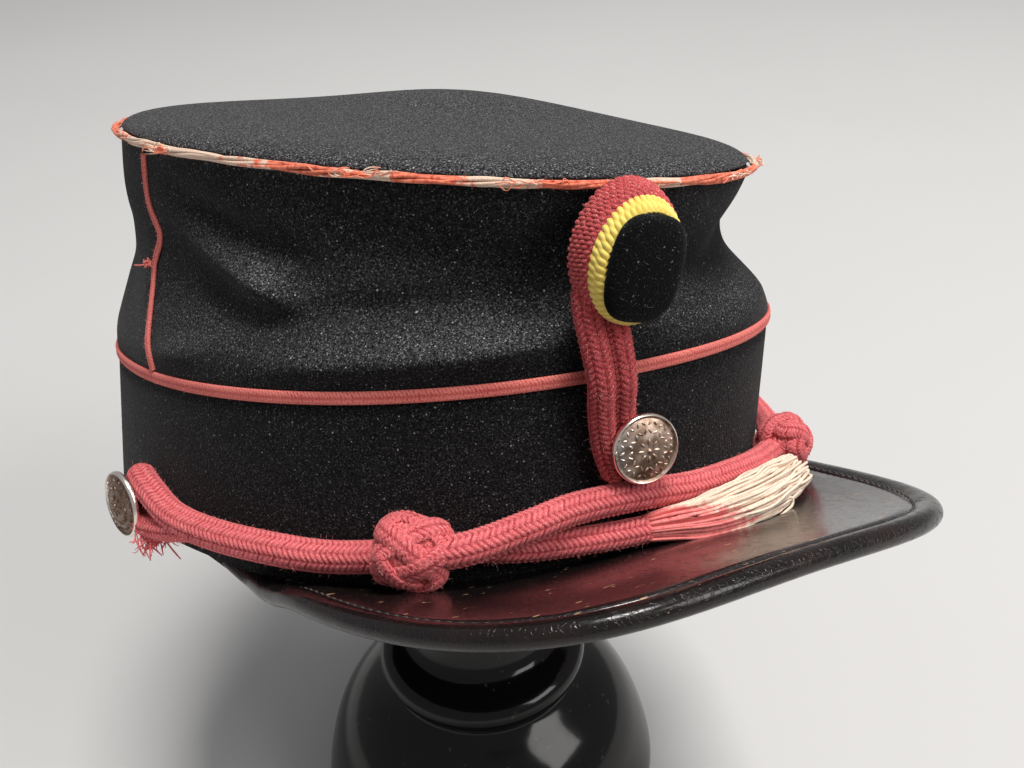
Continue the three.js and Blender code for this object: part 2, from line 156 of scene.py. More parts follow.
def lacquer_finish():
    """Black lacquer with a little dust, and worn brown in small spots."""
    material, place, shader = finish(
        "black_lacquer", 0.14, Coat_Weight=0.1, Coat_Roughness=0.06, Specular_IOR_Level=0.22
    )
    dust = place.noise(1.4, 6.0).step(0.62, 0.8)
    smear = place.noise(0.05, 2.0)
    wear = place.noise(0.35, 4.0).step(0.66, 0.72)
    feed(
        shader,
        Base_Color=wear.mix(LACQUER, LACQUER_WORN),
        Roughness=0.07 + smear * 0.12 + dust * 0.25,
        Normal=place.noise(0.09, 2.0).bump(0.0004, 0.25),
    )
    return material


def add_object(name, data):
    """A new object in the scene."""
    piece = bpy.data.objects.new(name, data)
    bpy.context.scene.collection.objects.link(piece)
    return piece


def pick(*pieces):
    """Selects these pieces alone, and makes the first one active."""
    bpy.ops.object.select_all(action="DESELECT")
    for piece in pieces:
        piece.select_set(True)
    bpy.context.view_layer.objects.active = pieces[0]


def subdivide(piece, levels):
    """Rounds the picked piece's skin, and smooths its shading."""
    rounding = piece.modifiers.new("rounding", "SUBSURF")
    rounding.levels = levels
    rounding.render_levels = levels
    bpy.ops.object.modifier_apply(modifier=rounding.name)
    bpy.ops.object.shade_smooth()


def rounded(node, name, levels, crease, sharp=50):
    """A finer copy of a solid: one skin of quads, rounded between its sharp edges."""
    piece = add_object(name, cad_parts[node].data.copy())
    pick(piece)
    bpy.ops.object.mode_set(mode="EDIT")
    bpy.ops.mesh.select_mode(type="EDGE")
    bpy.ops.mesh.select_all(action="SELECT")
    bpy.ops.mesh.remove_doubles(threshold=0.00002)
    bpy.ops.mesh.tris_convert_to_quads(face_threshold=1.2, shape_threshold=1.2)
    bpy.ops.mesh.select_all(action="DESELECT")
    bpy.ops.mesh.edges_select_sharp(sharpness=math.radians(sharp))
    bpy.ops.transform.edge_crease(value=crease)
    bpy.ops.object.mode_set(mode="OBJECT")
    subdivide(piece, levels)
    return piece


def coat(piece, material):
    """Gives a piece one finish all over."""
    piece.data.materials.clear()
    piece.data.materials.append(material)


def dress(piece, material, slot, *nodes):
    """Gives a piece its finish and its body, and hides the solids that it stands for."""
    coat(piece, material)
    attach(piece, "root")
    if nodes:
        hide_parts(*nodes)
    return piece


stand = rounded("stand", "turned_stand", 2, crease=0.5, sharp=60)
dress(stand, lacquer_finish(), "lacquered_wood", "stand")


# Band: black wool felt drawn round a strip of card and sewn at the back. It holds the
# cap's shape, and its lower edge is turned under.
FELT_DARK = (0.003, 0.003, 0.0034, 1)
FELT_NAP = (0.085, 0.085, 0.089, 1)
FELT_SPECK = (0.26, 0.26, 0.27, 1)
FELT_LINT = (0.6, 0.58, 0.56, 1)
BASE_OVAL = {"length": 0.099, "width": 0.087, "power": 2.2}
BAND_TOP_OVAL = {"length": 0.099, "width": 0.0862, "power": 2.2}
BAND_TOP_SHIFT = Vector((0.0028, -0.0028, 0))
BAND_HEIGHT = 0.0395
HEM = {"height": 0.005, "front": 60, "drop": 0.0023, "end": 50, "end_drop": 0.0021, "blend": 6}


def felt_finish():
    """Milled wool cloth with a grainy nap and pale lint. The dust attribute pales it: painted light where
    the felt faces up and on its folds, with some real dust.
    """
    material, place, shader = finish(
        "black_felt", 0.95, Sheen_Weight=0.07, Sheen_Roughness=0.4, Specular_IOR_Level=0.08
    )
    dust = place.attribute("dust")
    nap = place.noise(1.9, 4.0)
    fine = place.noise(3.4, 2.0)
    mottle = place.noise(0.13, 4.0)
    spots = place.node("ShaderNodeTexVoronoi", {}, {"Vector": place, "Scale": 0.75}, "Distance")
    lint = (0.15 - spots + (place.noise(0.9, 1.0) - 0.62) * 0.4).step(0.0, 0.05)
    pale = (0.1 + mottle * 0.2 + dust * (0.55 + mottle * 0.5)).clamp()
    grain = nap.step(0.42, 0.62) * 0.6 + fine.step(0.45, 0.65) * 0.5
    speck = place.noise(2.5, 1.0).step(0.6, 0.7) * (pale * 0.85 + 0.06)
    cloth = (grain * pale).clamp().mix(FELT_DARK, FELT_NAP)
    spotted = (lint * (0.4 + dust * 0.3)).clamp().mix(speck.mix(cloth, FELT_SPECK), FELT_LINT)
    feed(shader, Base_Color=spotted, Normal=(nap + fine * 0.4).bump(0.0003, 0.9))
    return material


def oval_radius(oval, angle):
    """The distance from an oval's middle to its line, at an angle from the peak."""
    across = abs(math.sin(angle) / oval["width"]) ** oval["power"]
    along = abs(math.cos(angle) / oval["length"]) ** oval["power"]
    return (across + along) ** (-1 / oval["power"])


def band_point(degrees, height, out):
    """A point against the band, in the scene: height above its base, distance out from it."""
    angle = math.radians(degrees)
    way = Vector((math.sin(angle), -math.cos(angle), 0))
    low = way * (oval_radius(BASE_OVAL, angle) + out)
    high = way * (oval_radius(BAND_TOP_OVAL, angle) + out) + BAND_TOP_SHIFT
    place = low.lerp(high, height / BAND_HEIGHT)
    place.z = height
    return CAP @ place


def vertex_places(piece):
    """The vertices of a mesh, as an array."""
    places = np.empty(len(piece.data.vertices) * 3)
    piece.data.vertices.foreach_get("co", places)
    return places.reshape(-1, 3)


def moved(points, matrix):
    """An array of points, turned and moved by a matrix."""
    turn = np.array(matrix)
    return points @ turn[:3, :3].T + turn[:3, 3]


def to_scene(points):
    """Points of the cap's own frame, on its seat in the scene."""
    return moved(points, CAP)


def cap_places(piece):
    """The vertices of a mesh in the cap's own frame."""
    return moved(vertex_places(piece), CAP_BACK)


def put_places(piece, places):
    """Puts places in the cap's frame back into a mesh."""
    piece.data.vertices.foreach_set("co", to_scene(places).ravel())
    piece.data.update()


def cap_angle(places):
    """The angle of places round the cap, from its peak toward the wearer's left."""
    return np.arctan2(places[:, 0], -places[:, 1])


def sew_down(piece):
    """Draws the band's lower edge down to the peak's seam, in front."""
    places = cap_places(piece)
    degrees = np.degrees(np.abs(cap_angle(places)))
    front = np.clip((HEM["front"] - degrees) / HEM["blend"], 0, 1)
    end = np.exp(-((degrees - HEM["end"]) / HEM["blend"]) ** 2)
    low = np.clip((HEM["height"] - places[:, 2]) / HEM["height"], 0, 1)
    places[:, 2] -= (HEM["drop"] * front + HEM["end_drop"] * end) * low
    put_places(piece, places)


felt = felt_finish()
band = rounded("band", "felt_band", 2, crease=0.9)
sew_down(band)
dress(band, felt, "black_felt", "band")


# Crown wall: a soft sleeve of the same felt between the band and the top. It has sunk
# into a waist, with a few diagonal folds where the cap has been pressed.
MM_PER_DEGREE = 1.65
SOFT_PART = {"from": 0.041, "rise": 0.008, "to": 0.098, "fall": 0.016}
# How much the felt pales where it faces up: painted light from overhead.
PAINTED_TOP_LIGHT = {"least_slope": 0.12, "by_slope": 0.5}
# Long hollows in the felt: degrees, height, tilt in degrees, length and width in millimetres,
# and depth. A ridge has a depth below 0. In the painted light patches, the depth is how much the felt
# pales: a painted highlight above 0, a painted shade below 0.
FOLDS = [
    (-56, 0.0755, -17, 22, 3.6, 0.0021),
    (-53, 0.0648, -18, 20, 3.4, -0.0035),
    (-44, 0.0680, -20, 10, 3.0, 0.0010),
    (-46, 0.0605, -24, 9, 2.8, -0.0013),
    (-56, 0.0560, -10, 20, 3.4, 0.0019),
    (-30, 0.0568, 2, 30, 3.8, 0.0022),
    (-25, 0.0475, 4, 30, 3.4, -0.0034),
    (-62, 0.0462, 6, 14, 3.2, -0.0020),
    (-8, 0.0700, 24, 16, 4.0, 0.0010),
    (30, 0.0490, 8, 22, 4.0, -0.0018),
    (28, 0.0630, 14, 20, 4.4, 0.0016),
    (62, 0.0560, 20, 18, 4.0, 0.0012),
    (-110, 0.0640, 25, 18, 4.0, 0.0015),
    (128, 0.0680, -30, 20, 4.2, 0.0015),
    (176, 0.0750, 18, 18, 4.0, -0.0016),
]
# Patches on the wall's folds, in the same columns: painted highlights, and painted shade where the depth is
# below 0.
PAINTED_LIGHT_PATCHES = [
    (-58, 0.0705, -18, 14, 2.6, 0.35),
    (-47, 0.0645, -20, 9, 3.2, 0.7),
    (-39, 0.0490, 5, 9, 2.8, 0.4),
    (-19, 0.0513, 4, 22, 2.7, 0.45),
    (-62, 0.0492, 6, 11, 2.8, 0.25),
    (22, 0.0500, 8, 12, 3.2, 0.2),
    (26, 0.0620, 4, 22, 6.5, -0.6),
    (150, 0.0560, 10, 26, 4.0, 0.3),
    (-130, 0.0560, -10, 26, 4.0, 0.3),
]
RIPPLE = 0.0002
# Low ripples round the wall: waves in one round, lean and phase.
RIPPLES = [(5, 90, 0.4), (9, 150, 2.1), (14, 230, 4.4)]


def gap_round(degrees, middle):
    """Degrees from a middle angle, the short way round."""
    return (degrees - middle + 180) % 360 - 180


def folded(rows, degrees, height):
    """The depths of all the rows' long soft hollows, added up at each place."""
    depth = np.zeros(len(degrees))
    for middle, level, tilt, length, width, press in rows:
        turn = math.radians(tilt)
        x = gap_round(degrees, middle) * MM_PER_DEGREE
        y = (height - level) * 1000
        along = (x * math.cos(turn) + y * math.sin(turn)) / length
        across = (y * math.cos(turn) - x * math.sin(turn)) / width
        depth += press * np.exp(-along ** 2 - across ** 2)
    return depth


def mark(piece, name, values):
    """Writes an attribute of a piece's points, for its finish to read."""
    piece.data.attributes.new(name, "FLOAT", "POINT").data.foreach_set("value", values)


def add_dust_and_painted_light(piece, base, painted_patches=()):
    """Pales the felt, partly for dust and partly as painted light: most where it faces up, and in painted
    highlight and shade patches on the folds.
    """
    places = cap_places(piece)
    normals = np.empty(len(places) * 3)
    piece.data.vertex_normals.foreach_get("vector", normals)
    facing = np.clip(normals.reshape(-1, 3)[:, 2] - PAINTED_TOP_LIGHT["least_slope"], 0, 1)
    dust = base + facing * PAINTED_TOP_LIGHT["by_slope"] + folded(painted_patches, np.degrees(cap_angle(places)), places[:, 2])
    mark(piece, "dust", np.clip(dust, -1, 1.5))


def fold_wall(piece):
    """Presses the folds into the wall, and leaves its edges where they are sewn."""
    places = cap_places(piece)
    angle = cap_angle(places)
    height = places[:, 2]
    depth = folded(FOLDS, np.degrees(angle), height)
    for waves, lean, phase in RIPPLES:
        depth += RIPPLE * np.sin(waves * angle + lean * height + phase)
    soft = np.clip((height - SOFT_PART["from"]) / SOFT_PART["rise"], 0, 1)
    inward = depth * (soft * np.clip((SOFT_PART["to"] - height) / SOFT_PART["fall"], 0, 1))
    places[:, 0] -= inward * np.sin(angle)
    places[:, 1] += inward * np.cos(angle)
    put_places(piece, places)


crown_wall = rounded("crown_wall", "felt_crown_wall", 3, crease=0.9)
fold_wall(crown_wall)
add_dust_and_painted_light(crown_wall, 0.0, PAINTED_LIGHT_PATCHES)
dress(crown_wall, felt, "black_felt", "crown_wall")


# Top: a disc of felt over a stiff pad, humped toward the back. Its edge is turned down and
# sewn to the wall under the piping.
crown_top = rounded("crown_top", "felt_top", 2, crease=0.0)
# The top pales all over: partly dust, partly painted light from overhead.
add_dust_and_painted_light(crown_top, 0.7)
dress(crown_top, felt, "black_felt", "crown_top")


# Piping: a cream cotton cord laid in the seam of the top. Its cover of orange-red wool has
# worn away in places and left the cord and loose threads bare.
PIPING_CREAM = (0.86, 0.66, 0.52, 1)
PIPING_RED = (0.9, 0.25, 0.14, 1)
PIPING_DEEP = (0.5, 0.06, 0.035, 1)
PIPING = {"yarns": 7, "reach": 0.0006, "radius": 0.0004, "turns": 7, "inset": 0.0009, "step": 0.0008}
WANDER = {"waves": (7, 19, 31), "turn": 0.3, "reach": 0.14}
RING_ROWS = 48
# Worn places of the piping: degrees, and half the degrees that each spreads over.
PIPING_BARE = [
    (-66, 26),
    (-30, 3.5),
    (-15, 5),
    (3, 6),
    (40, 9),
    (150, 16),
    (-150, 10),
]


def ring_line(node):
    """The middle line of a solid that rings the cap, as points in the cap's frame."""
    places = cap_places(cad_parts[node])
    middle = (places.min(axis=0) + places.max(axis=0)) / 2
    angle = np.arctan2(places[:, 0] - middle[0], middle[1] - places[:, 1]) % (2 * math.pi)
    rows = np.round(angle / (2 * math.pi) * RING_ROWS).astype(int) % RING_ROWS
    return np.array([places[rows == row].mean(axis=0) for row in range(RING_ROWS)])


def smooth_line(points, step, closed=False):
    """Points at even steps along a smooth curve through a few points."""
    points = np.asarray(points, float)
    if closed:
        around = np.vstack([points[-1:], points, points[:2]])
    else:
        first = 2 * points[0] - points[1]
        last = 2 * points[-1] - points[-2]
        around = np.vstack([first, points, last])
    fine = []
    for a, b, c, d in zip(around, around[1:], around[2:], around[3:]):
        for t in np.linspace(0, 1, 24, endpoint=False):
            bend = (2 * a - 5 * b + 4 * c - d) * t * t + (3 * b - a - 3 * c + d) * t ** 3
            fine.append(0.5 * (2 * b + (c - a) * t + bend))
    fine.append(around[-2])
    fine = np.array(fine)
    run = np.concatenate([[0], np.cumsum(np.linalg.norm(np.diff(fine, axis=0), axis=1))])
    count = max(2, int(round(run[-1] / step)))
    stops = np.linspace(0, run[-1], count + 1)
    if closed:
        stops = stops[:-1]
    return np.column_stack([np.interp(stops, run, fine[:, i]) for i in range(3)])


def unit(vectors):
    """A vector or rows of vectors, each made one long."""
    return vectors / np.linalg.norm(vectors, axis=-1, keepdims=True)


def skin(name, places, faces, **attributes):
    """A smooth mesh piece, with its point attributes."""
    mesh = bpy.data.meshes.new(name)
    mesh.from_pydata(places.tolist(), [], faces)
    mesh.polygons.foreach_set("use_smooth", [True] * len(mesh.polygons))
    mesh.update()
    piece = add_object(name, mesh)
    for key, values in attributes.items():
        mark(piece, key, values)
    return piece


def threads(name, lines, radius, sides=5, point=1.0, **shares):
    """Many thin strands as one mesh. Lines are in the scene, and each has as many points."""
    lines = np.asarray(lines, float)
    count, rows = lines.shape[:2]
    rng = np.random.default_rng(1)
    tangent = np.gradient(lines, axis=1)
    tangent /= np.linalg.norm(tangent, axis=2, keepdims=True) + 1e-12
    side = np.cross(tangent, rng.normal(0, 1, (count, 1, 3)))
    side /= np.linalg.norm(side, axis=2, keepdims=True) + 1e-12
    up = np.cross(side, tangent)
    turn = np.linspace(0, 2 * math.pi, sides, endpoint=False)
    size = np.broadcast_to(np.asarray(radius, float).reshape(-1, 1), (count, rows)).copy()
    size[:, [0, -1]] *= point
    ring = side[:, :, None] * np.cos(turn)[:, None] + up[:, :, None] * np.sin(turn)[:, None]
    places = lines[:, :, None] + ring * size[:, :, None, None]
    first = np.arange(count)[:, None, None] * rows * sides
    low = first + np.arange(rows - 1)[None, :, None] * sides
    j = np.arange(sides)[None, None, :]
    k = (j + 1) % sides
    quads = np.stack([low + j, low + k, low + sides + k, low + sides + j], -1).reshape(-1, 4)
    tips = first[:, 0] + np.arange(sides)[None, :]
    faces = quads.tolist() + tips[:, ::-1].tolist() + (tips + (rows - 1) * sides).tolist()
    attributes = {}
    for key, values in shares.items():
        spread = np.broadcast_to(np.asarray(values, float), (count, rows))
        attributes[key] = np.repeat(spread.ravel(), sides)
    return skin(name, places.reshape(-1, 3), faces, **attributes)


LEAF = {"lean": 1.1, "roundness": 0.6, "edge": 0.4}


def arch(share):
    """A rounded rise from 0 to 1 and back, over a share from 0 to 1."""
    return np.clip(np.sin(math.pi * share), 0, 1) ** LEAF["roundness"]


def braid_crest(column, beats):
    """A braid's leaves, from 0 in their grooves to 1 on their backs."""
    inside = column % 1
    lean = np.where(column.astype(int) % 2 == 0, LEAF["lean"], -LEAF["lean"])
    return arch((beats + lean * (inside - 0.5)) % 1) * (LEAF["edge"] + (1 - LEAF["edge"]) * arch(inside))


def ring_faces(rows, around, closed=False):
    """Quads between rows of points that ring a line."""
    faces = []
    for i in range(rows if closed else rows - 1):
        low = i * around
        high = (i + 1) % rows * around
        for j in range(around):
            k = (j + 1) % around
            faces.append((low + j, low + k, high + k, high + j))
    return faces


def plait(
    name, line, width, depth, columns, leaf, relief,
    around=48, ply=0, closed=False, ends=1.0, centre=None,
):
    """A braided cord, or with ply a twisted one, along a line in the cap's frame.

    Columns of leaves run along it, each leaning against the next. Its flat side faces out
    from the cap's axis, or away from a centre. The crest attribute is 0 in its grooves and
    1 on its strands."""
    if closed:
        tangent = unit(np.roll(line, -1, axis=0) - np.roll(line, 1, axis=0))
    else:
        tangent = unit(np.gradient(line, axis=0))
    out = line * [1, 1, 0] if centre is None else line - np.array(centre)
    side = unit(np.cross(tangent, out))
    up = np.cross(side, tangent)
    step = np.linalg.norm(np.diff(line, axis=0), axis=1).mean()
    run = (np.arange(len(line)) * step)[:, None]
    if closed:
        leaf = len(line) * step / round(len(line) * step / leaf)
    turn = np.linspace(0, 2 * math.pi, around, endpoint=False)[None, :]
    if ply:
        crest = np.abs(np.cos(turn * ply / 2 + math.pi * run / leaf)) ** 0.8
    else:
        crest = braid_crest(turn / (2 * math.pi) * columns, run / leaf)
    reach = run.max()
    taper = np.ones_like(run)
    if not closed:
        near = np.minimum(run, reach - run) / (depth * 0.4)
        taper = 1 - (1 - np.clip(near, 0, 1)) ** 2 * (1 - ends)
    swell = relief * (crest - 0.6)
    rise = np.cos(turn) * (depth / 2 + swell) * taper
    spread = np.sin(turn) * (width / 2 + swell) * taper
    places = line[:, None] + up[:, None] * rise[..., None] + side[:, None] * spread[..., None]
    places = to_scene(places.reshape(-1, 3))
    rows = len(line)
    faces = ring_faces(rows, around, closed)
    crest = crest.ravel()
    if not closed:
        caps = to_scene(line[[0, -1]])
        places = np.vstack([places, caps])
        crest = np.append(crest, [0.5, 0.5])
        last = (rows - 1) * around
        for j in range(around):
            k = (j + 1) % around
            faces.append((rows * around, k, j))
            faces.append((rows * around + 1, last + j, last + k))
    return skin(name, places, faces, crest=crest)


def piping_finish():
    """Worn wool and cotton: the bare attribute turns the red wool to cream cotton."""
    material, place, shader = finish("worn_piping", 0.95, Sheen_Weight=0.1)
    bare = place.attribute("bare")
    grain = place.noise(1.1, 5.0)
    hair = place.noise(5.0, 3.0)
    worn = (bare + (place.noise(0.45, 5.0) - 0.5) * 1.5).step(0.42, 0.6)
    wool = grain.step(0.25, 0.65).mix(PIPING_DEEP, PIPING_RED)
    cotton = hair.step(0.2, 0.65).mix((0.5, 0.3, 0.2, 1), PIPING_CREAM)
    feed(shader, Base_Color=worn.mix(wool, cotton), Normal=hair.bump(0.0002, 0.8))
    return material


def worn_share(line):
    """How bare the piping is at each point of its line, from 0 to 1."""
    degrees = np.degrees(cap_angle(line))
    bare = np.zeros(len(line))
    for middle, spread in PIPING_BARE:
        bare += 0.95 * np.exp(-(gap_round(degrees, middle) / spread) ** 2)
    return np.clip(bare, 0.05, 1)


def make_piping():
    """Loosely twisted yarns that wander round each other along the seam."""
    rng = np.random.default_rng(4)
    ring = np.roll(ring_line("top_piping"), RING_ROWS // 2, axis=0)
    ring = smooth_line(ring, PIPING["step"], closed=True)
    ring = np.vstack([ring, ring[:1]])
    out = unit(ring * [1, 1, 0])
    share = np.linspace(0, 1, len(ring))
    lines = []
    bare = []
    for i in range(PIPING["yarns"]):
        turn = 2 * math.pi * (i / PIPING["yarns"] + PIPING["turns"] * share)
        reach = PIPING["reach"] * np.ones_like(share)
        for waves in WANDER["waves"]:
            phase = rng.uniform(0, 6.28, 2)
            turn += WANDER["turn"] * np.sin(2 * math.pi * waves * share + phase[0])
            swing = WANDER["reach"] * PIPING["reach"]
            reach += swing * np.sin(2 * math.pi * waves * share + phase[1])
        line = ring - out * PIPING["inset"] + out * (np.cos(turn) * reach)[:, None]
        line[:, 2] += np.sin(turn) * reach
        lines.append(to_scene(line))
        bare.append(np.clip(worn_share(ring) + rng.normal(0, 0.1), 0, 1))
    radius = PIPING["radius"] * rng.uniform(0.85, 1.15, PIPING["yarns"])
    piece = threads("top_piping_cord", lines, radius, 6, bare=bare)
    return dress(piece, piping_finish(), "worn_piping", "top_piping")


STRAY = {"scatter": 2.2, "bend": 0.0006, "proud": 0.0004, "thin": 0.00007, "thick": 0.00017}
# Tufts of loose threads on the piping: degrees, count, length and lift.
STRAYS = [
    (-34, 22, 0.0032, 0.0006),
    (-14, 16, 0.0034, 0.0005),
    (-2, 22, 0.0060, -0.0004),
    (17, 12, 0.0034, -0.0003),
    (40, 20, 0.0036, 0.0002),
    (-70, 16, 0.0050, -0.0003),
]


def mottled(name, roughness, scale, detail, colours, steps=None):
    """A plain finish that wanders between two colours."""
    material, place, shader = finish(name, roughness)
    tint = place.noise(scale, detail)
    if steps:
        tint = tint.step(*steps)
    feed(shader, Base_Color=tint.mix(*colours))
    return material


def make_strays():
    """Loose threads that have sprung out of the worn piping."""
    rng = np.random.default_rng(21)
    ring = ring_line("top_piping")
    lines = []
    for middle, count, length, lift in STRAYS:
        for i in range(count):
            spot = (middle + rng.normal(0, STRAY["scatter"])) / 360 * RING_ROWS
            low = int(math.floor(spot))
            before, after = ring[low % RING_ROWS], ring[(low + 1) % RING_ROWS]
            start = before * (1 - spot + low) + after * (spot - low)
            out = unit(start * [1, 1, 0])
            along = np.array([-out[1], out[0], 0]) * rng.choice([-1, 1])
            bend = rng.normal(0, STRAY["bend"], 3)
            reach = length * rng.uniform(0.5, 1.3)
            t = np.linspace(0, 1, 6)[:, None]
            rise = np.array([0, 0, lift * rng.uniform(0, 1.6) + rng.normal(0, STRAY["proud"])])
            proud = out * STRAY["proud"]
            line = start + proud + along * t * reach + (rise + proud) * t ** 1.5
            lines.append(to_scene(line + bend * np.sin(t * math.pi)))
    radius = rng.uniform(STRAY["thin"], STRAY["thick"], len(lines))
    piece = threads("piping_strays", lines, radius, point=0.4)
    material = mottled("stray_threads", 0.9, 0.25, 2.0, (PIPING_CREAM, PIPING_RED), (0.42, 0.55))
    return dress(piece, material, "worn_piping")


piping = make_piping()
make_strays()


# Band braid: a narrow flat plait of coral red wool, sewn over the seam of band and crown.
# The first colour is a painted shade for the braid's grooves.
BRAID_GROOVE_SHADE = (0.42, 0.045, 0.04, 1)
BRAID_RIDGE = (0.88, 0.24, 0.2, 1)
BRAID = {
    "width": 0.0029, "depth": 0.0009, "leaf": 0.0008, "relief": 0.00018, "step": 0.00034, "coarse": 0.004
}
SEARCH = {"start": 0.010, "below": 0.002, "reach": 0.013, "spread": 0.001}
PROUD = 0.0003


def wool_finish(name, deep, ridge, fluff):
    """Knitted or braided wool: darker in its grooves by a painted shade, with pale fluff on its strands."""
    material, place, shader = finish(
        name, 0.92, Sheen_Weight=0.3, Sheen_Roughness=0.5, Sheen_Tint=(1, 0.35, 0.33, 1)
    )
    crest = place.attribute("crest")
    hair = place.noise(4.5, 4.0)
    cloud = place.noise(0.12, 3.0)
    tone = (crest.step(0.1, 0.95) * 0.8 + (hair - 0.5) * 0.7 + (cloud - 0.5) * 0.5).clamp()
    # The crest attribute takes the wool from its deep colour, a painted shade in the grooves, to its ridge
    # colour.
    wool = tone.mix(deep, ridge)
    fluffy = (hair.step(0.52, 0.72) * crest * 0.85).mix(wool, fluff)
    feed(shader, Base_Color=fluffy, Normal=hair.bump(0.00022, 0.8))
    return material


def surface(piece):
    """A search tree of a finished piece."""
    return BVHTree.FromPolygons(
        [v.co for v in piece.data.vertices], [p.vertices[:] for p in piece.data.polygons]
    )


def settle(line):
    """Lays a line in the cap's frame on the felt, and lets it stand a little proud."""
    laid = []
    for point in line:
        out = unit(point * [1, 1, 0])
        way = CAP.to_3x3() @ Vector(-out)
        deep = SEARCH["start"] + SEARCH["below"]
        for lift in (-SEARCH["spread"], SEARCH["spread"]):
            start = CAP @ Vector(point + out * SEARCH["start"] + np.array([0, 0, lift]))
            hits = [tree.ray_cast(start, way, SEARCH["reach"])[3] for tree in felt_surfaces]
            deep = min([deep] + [hit for hit in hits if hit is not None])
        laid.append(point + out * (SEARCH["start"] - deep + PROUD))
    return np.array(laid)


felt_surfaces = [surface(band), surface(crown_wall)]
braid_wool = wool_finish("braid_wool", BRAID_GROOVE_SHADE, BRAID_RIDGE, (0.95, 0.42, 0.36, 1))
braid_line = smooth_line(ring_line("band_braid"), BRAID["coarse"], closed=True)
braid_line = smooth_line(settle(braid_line), BRAID["step"], closed=True)
band_braid = plait(
    "band_braid_plait", braid_line, BRAID["width"], BRAID["depth"], 4,
    BRAID["leaf"], BRAID["relief"], 16, closed=True,
)
dress(band_braid, braid_wool, "red_wool", "band_braid")


# Side braids: the same plait, sewn up each flank from the band braid to the piping. Each
# has a kink where the wall has sunk, and the right one is frayed there.
SIDE_BRAID = {"width": 0.0022, "tuck": 0.0016, "coarse": 0.0025}


def upright_line(node, row_size):
    """The middle line of an upright strip, from its rows of vertices."""
    places = np.unique(cap_places(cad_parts[node]).round(5), axis=0)
    places = places[np.argsort(places[:, 2])]
    rows = [places[i:i + row_size].mean(axis=0) for i in range(0, len(places), row_size)]
    return np.array(rows)


def make_side_braid(node):
    """One flank's plait, from under the band braid up to the piping."""
    line = upright_line(node, 4)
    line[0, 2] -= SIDE_BRAID["tuck"]
    line = smooth_line(settle(smooth_line(line, SIDE_BRAID["coarse"])), BRAID["step"])
    piece = plait(
        node + "_plait", line, SIDE_BRAID["width"], BRAID["depth"], 4, BRAID["leaf"], BRAID["relief"], 18
    )
    return dress(piece, braid_wool, "red_wool", node)


side_braids = [make_side_braid("side_braid_" + side) for side in ("right", "left")]


# Peak: a curved plate of board covered with black patent leather, sewn under the band. Its
# gloss is cracked fine, with small nicks that show the tan hide.
LEATHER = (0.006, 0.0048, 0.005, 1)
LEATHER_BROWN = (0.015, 0.009, 0.008, 1)
HIDE_TAN = (0.42, 0.24, 0.12, 1)
EDGE = {"half_width": 0.0728, "back_y": -0.0088, "depth": 0.1419, "power": 3.467, "start": 0.105}
EDGE_RISE = {"at_back": -0.0022, "per_metre": 0.123, "droop": 0.0073, "roll": 0.022, "tuck": 0.0026}


def patent_finish(name, roughness, wear, nicks, gloss):
    """Patent leather: a deep gloss over fine cracks, scuffs and tan nicks."""
    material, place, shader = finish(
        name, roughness, Coat_Weight=gloss, Coat_Roughness=0.14, Specular_IOR_Level=0.3 + gloss / 2
    )
    cracks = place.node(
        "ShaderNodeTexVoronoi", {"feature": "DISTANCE_TO_EDGE"}, {"Vector": place, "Scale": 0.9}, "Distance"
    )
    scuff = place.noise(0.5, 5.0, (1, 0.35, 1))
    brown = place.noise(0.045, 3.0).step(0.45, 0.7)
    dashes = place.noise(0.42, 2.0, (0.55, 1.6, 1))
    nick = dashes.step(nicks, nicks + 0.025)
    skin_colour = (brown * 0.8 + scuff * 0.2).mix(LEATHER, LEATHER_BROWN)
    height = cracks.step(0.0, 0.06) * 0.5 + place.noise(0.25, 3.0) - nick * 1.4
    feed(
        shader,
        Base_Color=nick.mix(skin_colour, HIDE_TAN),
        Roughness=(roughness + scuff.step(0.45, 0.8) * wear + nick * 0.5).clamp(),
        Normal=height.bump(0.00012, 0.5),
    )
    return material


def edge_point(share):
    """The line that the binding follows, in the cap's frame."""
    turn = EDGE["start"] + (math.pi - 2 * EDGE["start"]) * share
    across = math.copysign(abs(math.cos(turn)) ** (2 / EDGE["power"]), math.cos(turn))
    y = EDGE["back_y"] - EDGE["depth"] * math.sin(turn) ** (2 / EDGE["power"])
    x = EDGE["half_width"] * across
    z = EDGE_RISE["at_back"] + EDGE_RISE["per_metre"] * (EDGE["back_y"] - y) - EDGE_RISE["roll"] * x
    t = min(1, max(0, (-y - 0.066) / 0.018))
    tuck = EDGE_RISE["tuck"] * (1 - t * t * (3 - 2 * t))
    return np.array([x, y, z - EDGE_RISE["droop"] * across ** 2 - tuck])


peak_leather = patent_finish("patent_leather", 0.22, 0.12, 0.7, 0.4)
peak = rounded("peak", "leather_peak", 2, crease=0.9)
dress(peak, peak_leather, "patent_leather", "peak")


# Binding: a strip of patent leather rolled over the peak's edge and sewn through with black
# thread in a sunk line. The roll is rubbed bright.
BINDING = {"step": 0.0011, "thin_rows": 16, "under": -0.0015, "lift": 0.0012, "near": 0.0045, "far": 0.0085}
# The roll's outline: inward from the edge along the plate, and up from the plate.
BINDING_SECTION = [
    (0.0044, 0.0012), (0.0038, 0.0017), (0.0032, 0.00145), (0.0026, 0.0019), (0.0014, 0.0023),
    (0.0001, 0.00245), (-0.0012, 0.0021), (-0.0021, 0.0013), (-0.0025, 0.0001), (-0.0021, -0.0012),
    (-0.0012, -0.0020), (0.0001, -0.0023), (0.0016, -0.0021), (0.0032, -0.0018), (0.0044, -0.0014),
]
